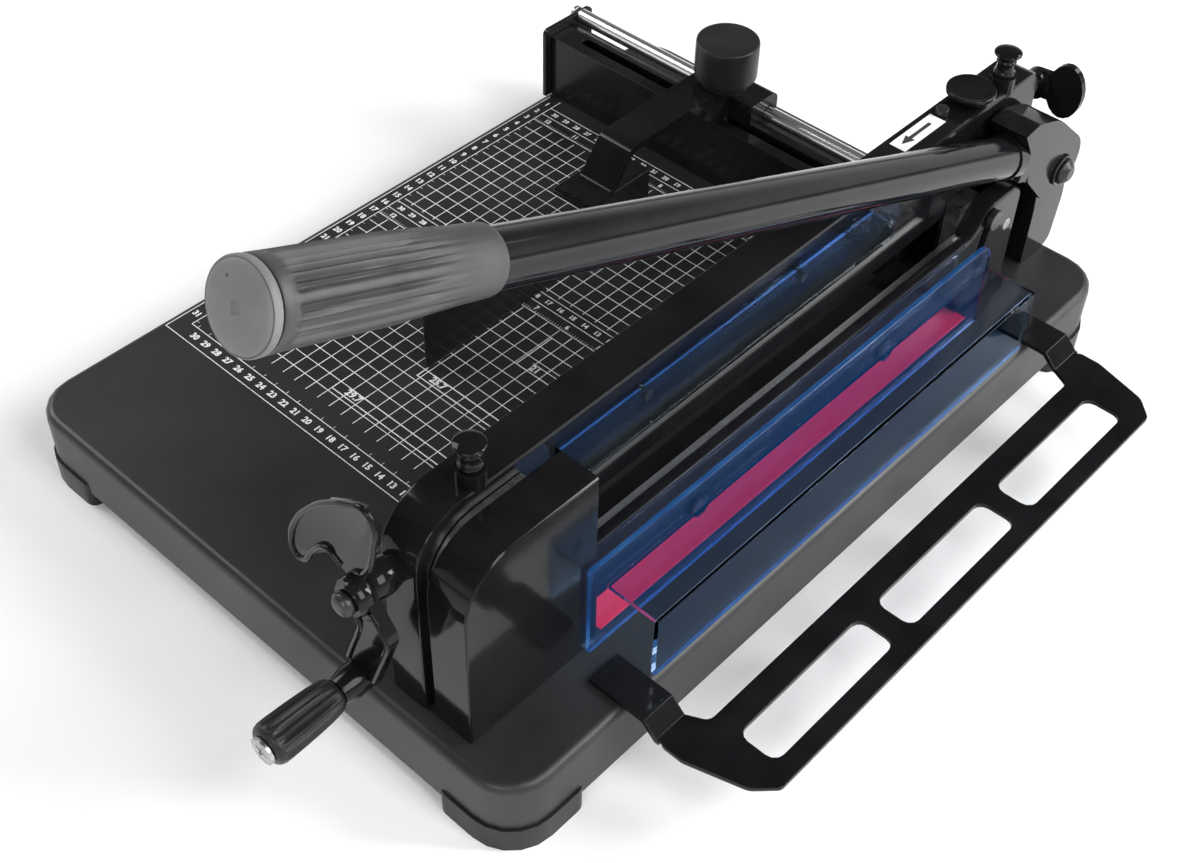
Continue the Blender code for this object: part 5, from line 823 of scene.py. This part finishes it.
cap = drawn_out("grip_cap_domed", 48, [
    (616.3, 15.0), (616.4, 16.6), (616.9, 17.1), (618.0, 17.2), (619.6, 17.2), (620.3, 16.9),
    (620.2, 16.4), (620.0, 16.2), (620.5, 16.0), (621.2, 15.2), (621.7, 13.2), (622.1, 9.5),
    (622.3, 5.0), (622.3, 3.0), (621.6, 2.6), (621.6, 0.6)])
deselect()
bpy.ops.mesh.primitive_cylinder_add(vertices=16, radius=0.65 * MM, depth=3 * MM,
                                    location=(-6.5 * MM, 8.6 * MM, 622.3 * MM))
cut_away(cap, bpy.context.object, "vent")
roll_edges(cap, 0.15 * MM, 1, 50)
laid(cap, on_lever)
stands_for(cap, "grip_cap", cap_rubber)
print("cap:", len(cap.data.polygons), "faces")

# %% [markdown]
# ## The hand crank
#
# The crank is a small casting: a thumb wing like a crescent, a curved arm, and an eye for the handle.
# The wing is dished like a spoon, and wing and arm have a thick rolled rim. The outline of the
# frame's part is right, so a copy of it is worked on. A flat face could be inset and pushed in, but
# where an outline has a deep notch the inset folds over itself, so the dish is cut: a long flat
# ellipsoid just touches the front of the wing, and a boolean takes away what it covers.

# %% Dished wing
crank = clean_copy("crank_arm", "crank_casting")
WING_FRONT, ARM_FRONT = -431.1, -434.1
deselect()
bpy.ops.mesh.primitive_uv_sphere_add(segments=96, ring_count=64, radius=1, location=(0, 0, 0))
spoon = bpy.context.object
spoon.scale = (105 * MM, 20 * MM, 33 * MM)
spoon.rotation_euler = (0, math.radians(-48), 0)
spoon.location = at(-43.0, WING_FRONT - 18.2, 124.5)
bpy.ops.object.transform_apply(location=True, rotation=True, scale=True)
cut_away(crank, spoon, "dish")
roll_edges(crank, 0.7 * MM, 3)
stands_for(crank, "crank_arm", gloss_black)
print("crank:", len(crank.data.polygons), "faces")

# %% [markdown]
# The rims are rods laid along the edges. A rod that follows a line is quickest as a curve with a
# round bevel, made a mesh at the end. Its middle lies at the face, so about half of it stands out.

# %% Rolled rims
def rolled_rim(name, points, front, radius):
    """A round rod through points (x, z) on a front face, in millimetres."""
    line = bpy.data.curves.new(name, "CURVE")
    line.dimensions = "3D"
    line.bevel_depth = radius * MM
    line.bevel_resolution = 3
    line.use_fill_caps = True
    line.resolution_u = 6
    spline = line.splines.new("BEZIER")
    spline.bezier_points.add(len(points) - 1)
    for knot, (x, z) in zip(spline.bezier_points, points):
        knot.co = at(x, front, z)
        knot.handle_left_type = knot.handle_right_type = "AUTO"
    rim = bpy.data.objects.new(name, line)
    scene.collection.objects.link(rim)
    deselect()
    rim.select_set(True)
    bpy.context.view_layer.objects.active = rim
    bpy.ops.object.convert(target="MESH")
    bpy.ops.object.shade_smooth_by_angle(angle=math.radians(50))
    rim.data.materials.append(gloss_black)
    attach(rim, "crank")


rolled_rim("crank_wing_rim",
           [(-20.5, 110.0), (-16.0, 118.0), (-11.6, 135.4), (-10.0, 150.5), (-14.6, 156.0),
            (-24.5, 152.0), (-38.0, 142.8), (-52.8, 128.6), (-65.0, 110.8), (-70.4, 95.0),
            (-69.0, 86.0), (-65.4, 84.6), (-55.0, 98.8), (-44.0, 108.6), (-35.0, 105.0)],
           WING_FRONT + 0.3, 1.7)
rolled_rim("crank_arm_rim_left",
           [(-28.2, 86.0), (-22.8, 78.0), (-24.6, 69.5), (-29.0, 57.5), (-34.2, 43.0)], ARM_FRONT, 1.6)
rolled_rim("crank_arm_rim_right",
           [(-14.6, 91.5), (-8.2, 84.0), (-5.4, 77.0), (-8.2, 66.5), (-13.2, 53.0), (-18.6, 38.5)],
           ARM_FRONT, 1.6)

# %% [markdown]
# The crank's handle is a fluted barrel that is widest near its free end and turns on a screw. The
# screw's head is a bright disc with a cross in it: two crossed bars are sunk into it with booleans.

# %% Fluted handle
SMALL_FLUTES = 16
handle_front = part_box("crank_grip")[0].y
handle_long = (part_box("crank_grip")[1].y - handle_front) / MM
shape = [(0.00, 4.0), (0.00, 8.6), (0.03, 10.2), (0.07, 11.0), (0.11, 11.25), (0.16, 11.3), (0.40, 11.1),
         (0.65, 10.6), (0.85, 9.9), (0.93, 9.2), (0.98, 8.0), (0.995, 6.8), (0.995, 3.5)]
rings = [(handle_long * share, radius) for share, radius in shape]
handle = drawn_out("crank_handle_fluted", 3 * SMALL_FLUTES, rings)
pull_in(handle, SMALL_FLUTES, {rings[4][0]: 1.4, rings[5][0]: 2.3, rings[6][0]: 2.5, rings[7][0]: 2.4,
                               rings[8][0]: 2.0})
rounded_off(handle)
along_y = Matrix(((1, 0, 0, 0), (0, 0, 1, 0), (0, -1, 0, 0), (0, 0, 0, 1)))
handle_start = at(-28, 0, 35)
handle_start.y = handle_front
laid(handle, Matrix.Translation(handle_start) @ along_y)
stands_for(handle, "crank_grip", hard_plastic)
print("handle:", len(handle.data.polygons), "faces")

# %% Cross-headed screw
screw = clean_copy("grip_screw", "handle_screw")
head_middle = Vector((handle_start.x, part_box("grip_screw")[0].y, handle_start.z))
for turn in (20, 110):
    deselect()
    bpy.ops.mesh.primitive_cube_add(size=1, location=head_middle, rotation=(0, math.radians(turn), 0))
    bar = bpy.context.object
    bar.scale = (8.0 * MM, 2.0 * MM, 1.6 * MM)
    cut_away(screw, bar, "cross")
roll_edges(screw, 0.25 * MM, 2)
stands_for(screw, "grip_screw", zinc)
print("screw:", len(screw.data.polygons), "faces")

# %% [markdown]
# ## Knobs, brake disc and nut
#
# These are all turned parts, and in the frame their round walls are rows of flats. A turned part is
# a profile drawn out round an axis, so each one is a short list of places and radii: flat lands
# stay flat because two stations stand close together where an edge is. One subdivision rounds the
# circle, and `upright` and `facing_operator` lay the finished piece on its axis.

# %% Two ways to lay a turned piece
def upright(x, y, z):
    """The axis points up."""
    return Matrix.Translation(at(x, y, z))


def facing_operator(x, y, z):
    """The axis points to the operator, along -y."""
    return Matrix.Translation(at(x, y, z)) @ Matrix.Rotation(math.radians(90), 4, "X")


def turned_part(name, part, finish, stations, place, sides=40):
    """A turned piece that stands for a frame part; stations are (along, radius) in millimetres."""
    made = drawn_out(name, sides, stations)
    rounded_off(made)
    laid(made, place)
    stands_for(made, part, finish)


def ends_of(part):
    """The two corners of a frame part's box in the same measure."""
    low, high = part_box(part)
    return (low - at(0, 0, 0)) / MM, (high - at(0, 0, 0)) / MM


# %% Clamp rod knobs
for end in ("front", "back"):
    low, high = ends_of(end + "_rod_knob")
    tall = high.z - low.z
    turned_part(end + "_knob_mushroom", end + "_rod_knob", gloss_black, [
        (0.0, 4.5), (0.0, 5.9), (0.2, 6.1), (1.6, 6.1), (2.0, 5.8), (3.0, 5.1), (tall - 8.6, 5.0),
        (tall - 8.2, 5.6), (tall - 7.4, 5.9), (tall - 6.6, 5.5), (tall - 6.2, 5.0), (tall - 5.4, 5.2),
        (tall - 3.4, 7.2), (tall - 3.0, 7.8), (tall - 2.7, 8.0), (tall - 1.9, 8.0), (tall - 1.6, 7.7),
        (tall - 0.8, 6.2), (tall - 0.2, 3.4), (tall, 0.8)],
        upright((low.x + high.x) / 2, (low.y + high.y) / 2, low.z))
print("rod knobs are", round(tall, 1), "mm tall")

# %% Lock knob
low, high = ends_of("lock_knob")
radius = (high.x - low.x) / 2
tall = high.z - low.z
turned_part("lock_knob_turned", "lock_knob", hard_plastic, [
    (0.3, 2.0), (0.3, 5.4), (2.9, 5.5), (3.0, 3.0), (tall - 31.0, 3.0), (tall - 30.9, radius - 4.4),
    (tall - 30.5, radius - 3.8), (tall - 26.0, radius - 3.8), (tall - 25.6, radius - 1.2),
    (tall - 25.0, radius - 0.3), (tall - 24.0, radius), (tall - 10.0, radius), (tall - 1.4, radius),
    (tall - 0.5, radius - 0.3), (tall - 0.1, radius - 1.2), (tall, radius - 1.8), (tall, radius - 6),
    (tall, 2.0)],
    upright((low.x + high.x) / 2, (low.y + high.y) / 2, low.z), 48)
print("lock knob radius:", round(radius, 1), "tall:", round(tall, 1))

# %% Brake disc
low, high = ends_of("brake_disc")
tall, radius = high.z - low.z, (high.x - low.x) / 2
turned_part("brake_disc_turned", "brake_disc", gloss_black, [
    (0.3, 1.5), (0.3, 3.8), (tall - 5.1, 3.9), (tall - 5.0, radius - 3.4), (tall - 4.8, radius - 1.8),
    (tall - 3.9, radius - 1.2), (tall - 3.5, radius - 1.2), (tall - 3.2, radius - 0.4),
    (tall - 2.7, radius), (tall - 0.9, radius), (tall - 0.2, radius - 0.3), (tall, radius - 1.1),
    (tall - 0.3, radius - 1.8), (tall - 0.4, radius - 2.8), (tall - 0.4, 2.0)],
    upright((low.x + high.x) / 2, (low.y + high.y) / 2, low.z), 48)
print("brake disc radius:", round(radius, 1))

# %% Crank nut
low, high = ends_of("crank_nut")
turned_part("crank_nut_domed", "crank_nut", black_oxide, [
    (0.2, 4.6), (0.2, 6.0), (0.5, 6.4), (3.0, 6.4), (3.4, 6.1), (3.6, 5.6), (4.4, 5.2), (5.2, 4.4),
    (5.6, 2.6), (5.7, 0.8)],
    facing_operator((low.x + high.x) / 2, high.y, (low.z + high.z) / 2))
print("nut from y", round(low.y, 1), "to", round(high.y, 1))

# %% [markdown]
# The fence is a folded channel with a slot along its top for the lock knob. The fold goes on as an
# inner wall and a shelf under the rod, and these are what make the slot look black from above. The
# piece is a thin wall whose lower edge is pushed out to the back.

# %% Inner fold of the fence
FOLD_FOOT, SHELF_TOP, SHELF_DEPTH, SHELF_END = 24, 25.5, 18, -60
low, high = ends_of("fence_channel")
wall_low = at(low.x + 0.5, high.y - 2.4, FOLD_FOOT)
wall_high = at(high.x - 0.5, high.y - 0.9, high.z - 2.4)
deselect()
bpy.ops.mesh.primitive_cube_add(size=1, location=(wall_low + wall_high) / 2)
fence_fold = bpy.context.object
fence_fold.name = fence_fold.data.name = "fence_inner_fold"
fence_fold.scale = wall_high - wall_low
bpy.ops.object.transform_apply(location=True, rotation=True, scale=True)
bpy.ops.object.mode_set(mode="EDIT")
bpy.ops.mesh.select_all(action="SELECT")
bpy.ops.mesh.bisect(plane_co=at(0, 0, SHELF_TOP), plane_no=(0, 0, 1))
bpy.ops.mesh.select_all(action="DESELECT")
bpy.ops.object.mode_set(mode="OBJECT")
for face in fence_fold.data.polygons:
    face.select = face.normal.y > 0.9 and face.center.z < at(0, 0, SHELF_TOP).z
bpy.ops.object.mode_set(mode="EDIT")
bpy.ops.mesh.select_mode(type="FACE")
bpy.ops.mesh.extrude_region_move(TRANSFORM_OT_translate={"value": (0, SHELF_DEPTH * MM, 0)})
bpy.ops.object.mode_set(mode="OBJECT")
shelf_end = at(SHELF_END, 0, 0).x
for vertex in fence_fold.data.vertices:
    if vertex.co.y > wall_high.y + 1 * MM and vertex.co.x > shelf_end:
        vertex.co.x = shelf_end
roll_edges(fence_fold, 0.3 * MM, 2)
fence_fold.data.materials.append(sheet_black)
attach(fence_fold, "base")
print("inner fold:", [round(length / MM) for length in fence_fold.dimensions], "mm")

# %% [markdown]
# ## The arrow
#
# The back end of the beam carries a small white label with an arrow. The arrow is printed, so like
# the scales it is a sheet of ink: a bar for its shaft, and a second one tapered to a head.

# %% Arrow on the label
label_low, label_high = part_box("arrow_label")
label_middle = (label_low + label_high) / 2
label_middle.z = label_high.z


def ink_on_label(x0, y0, x1, y1, taper=1.0):
    """A flat piece of ink, placed from the label's middle; taper narrows its front end."""
    deselect()
    middle = label_middle + Vector((x0 + x1, y0 + y1, 0)) / 2 * MM
    bpy.ops.mesh.primitive_plane_add(size=1, location=middle)
    piece = bpy.context.object
    piece.scale = ((x1 - x0) * MM, (y1 - y0) * MM, 1)
    bpy.ops.object.transform_apply(location=True, rotation=True, scale=True)
    for vertex in piece.data.vertices:
        if vertex.co.y < middle.y:
            vertex.co.x = middle.x + (vertex.co.x - middle.x) * taper
    return pressed_up(piece)


shaft = ink_on_label(-1.1, -7.0, 1.1, 12.0)
head = ink_on_label(-3.2, -15.0, 3.2, -7.0, 0.02)
arrow = joined([shaft, head], "label_arrow")
arrow.data.materials.append(label_black)
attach(arrow, body_of_part["arrow_label"])
print("arrow:", len(arrow.data.polygons), "faces")
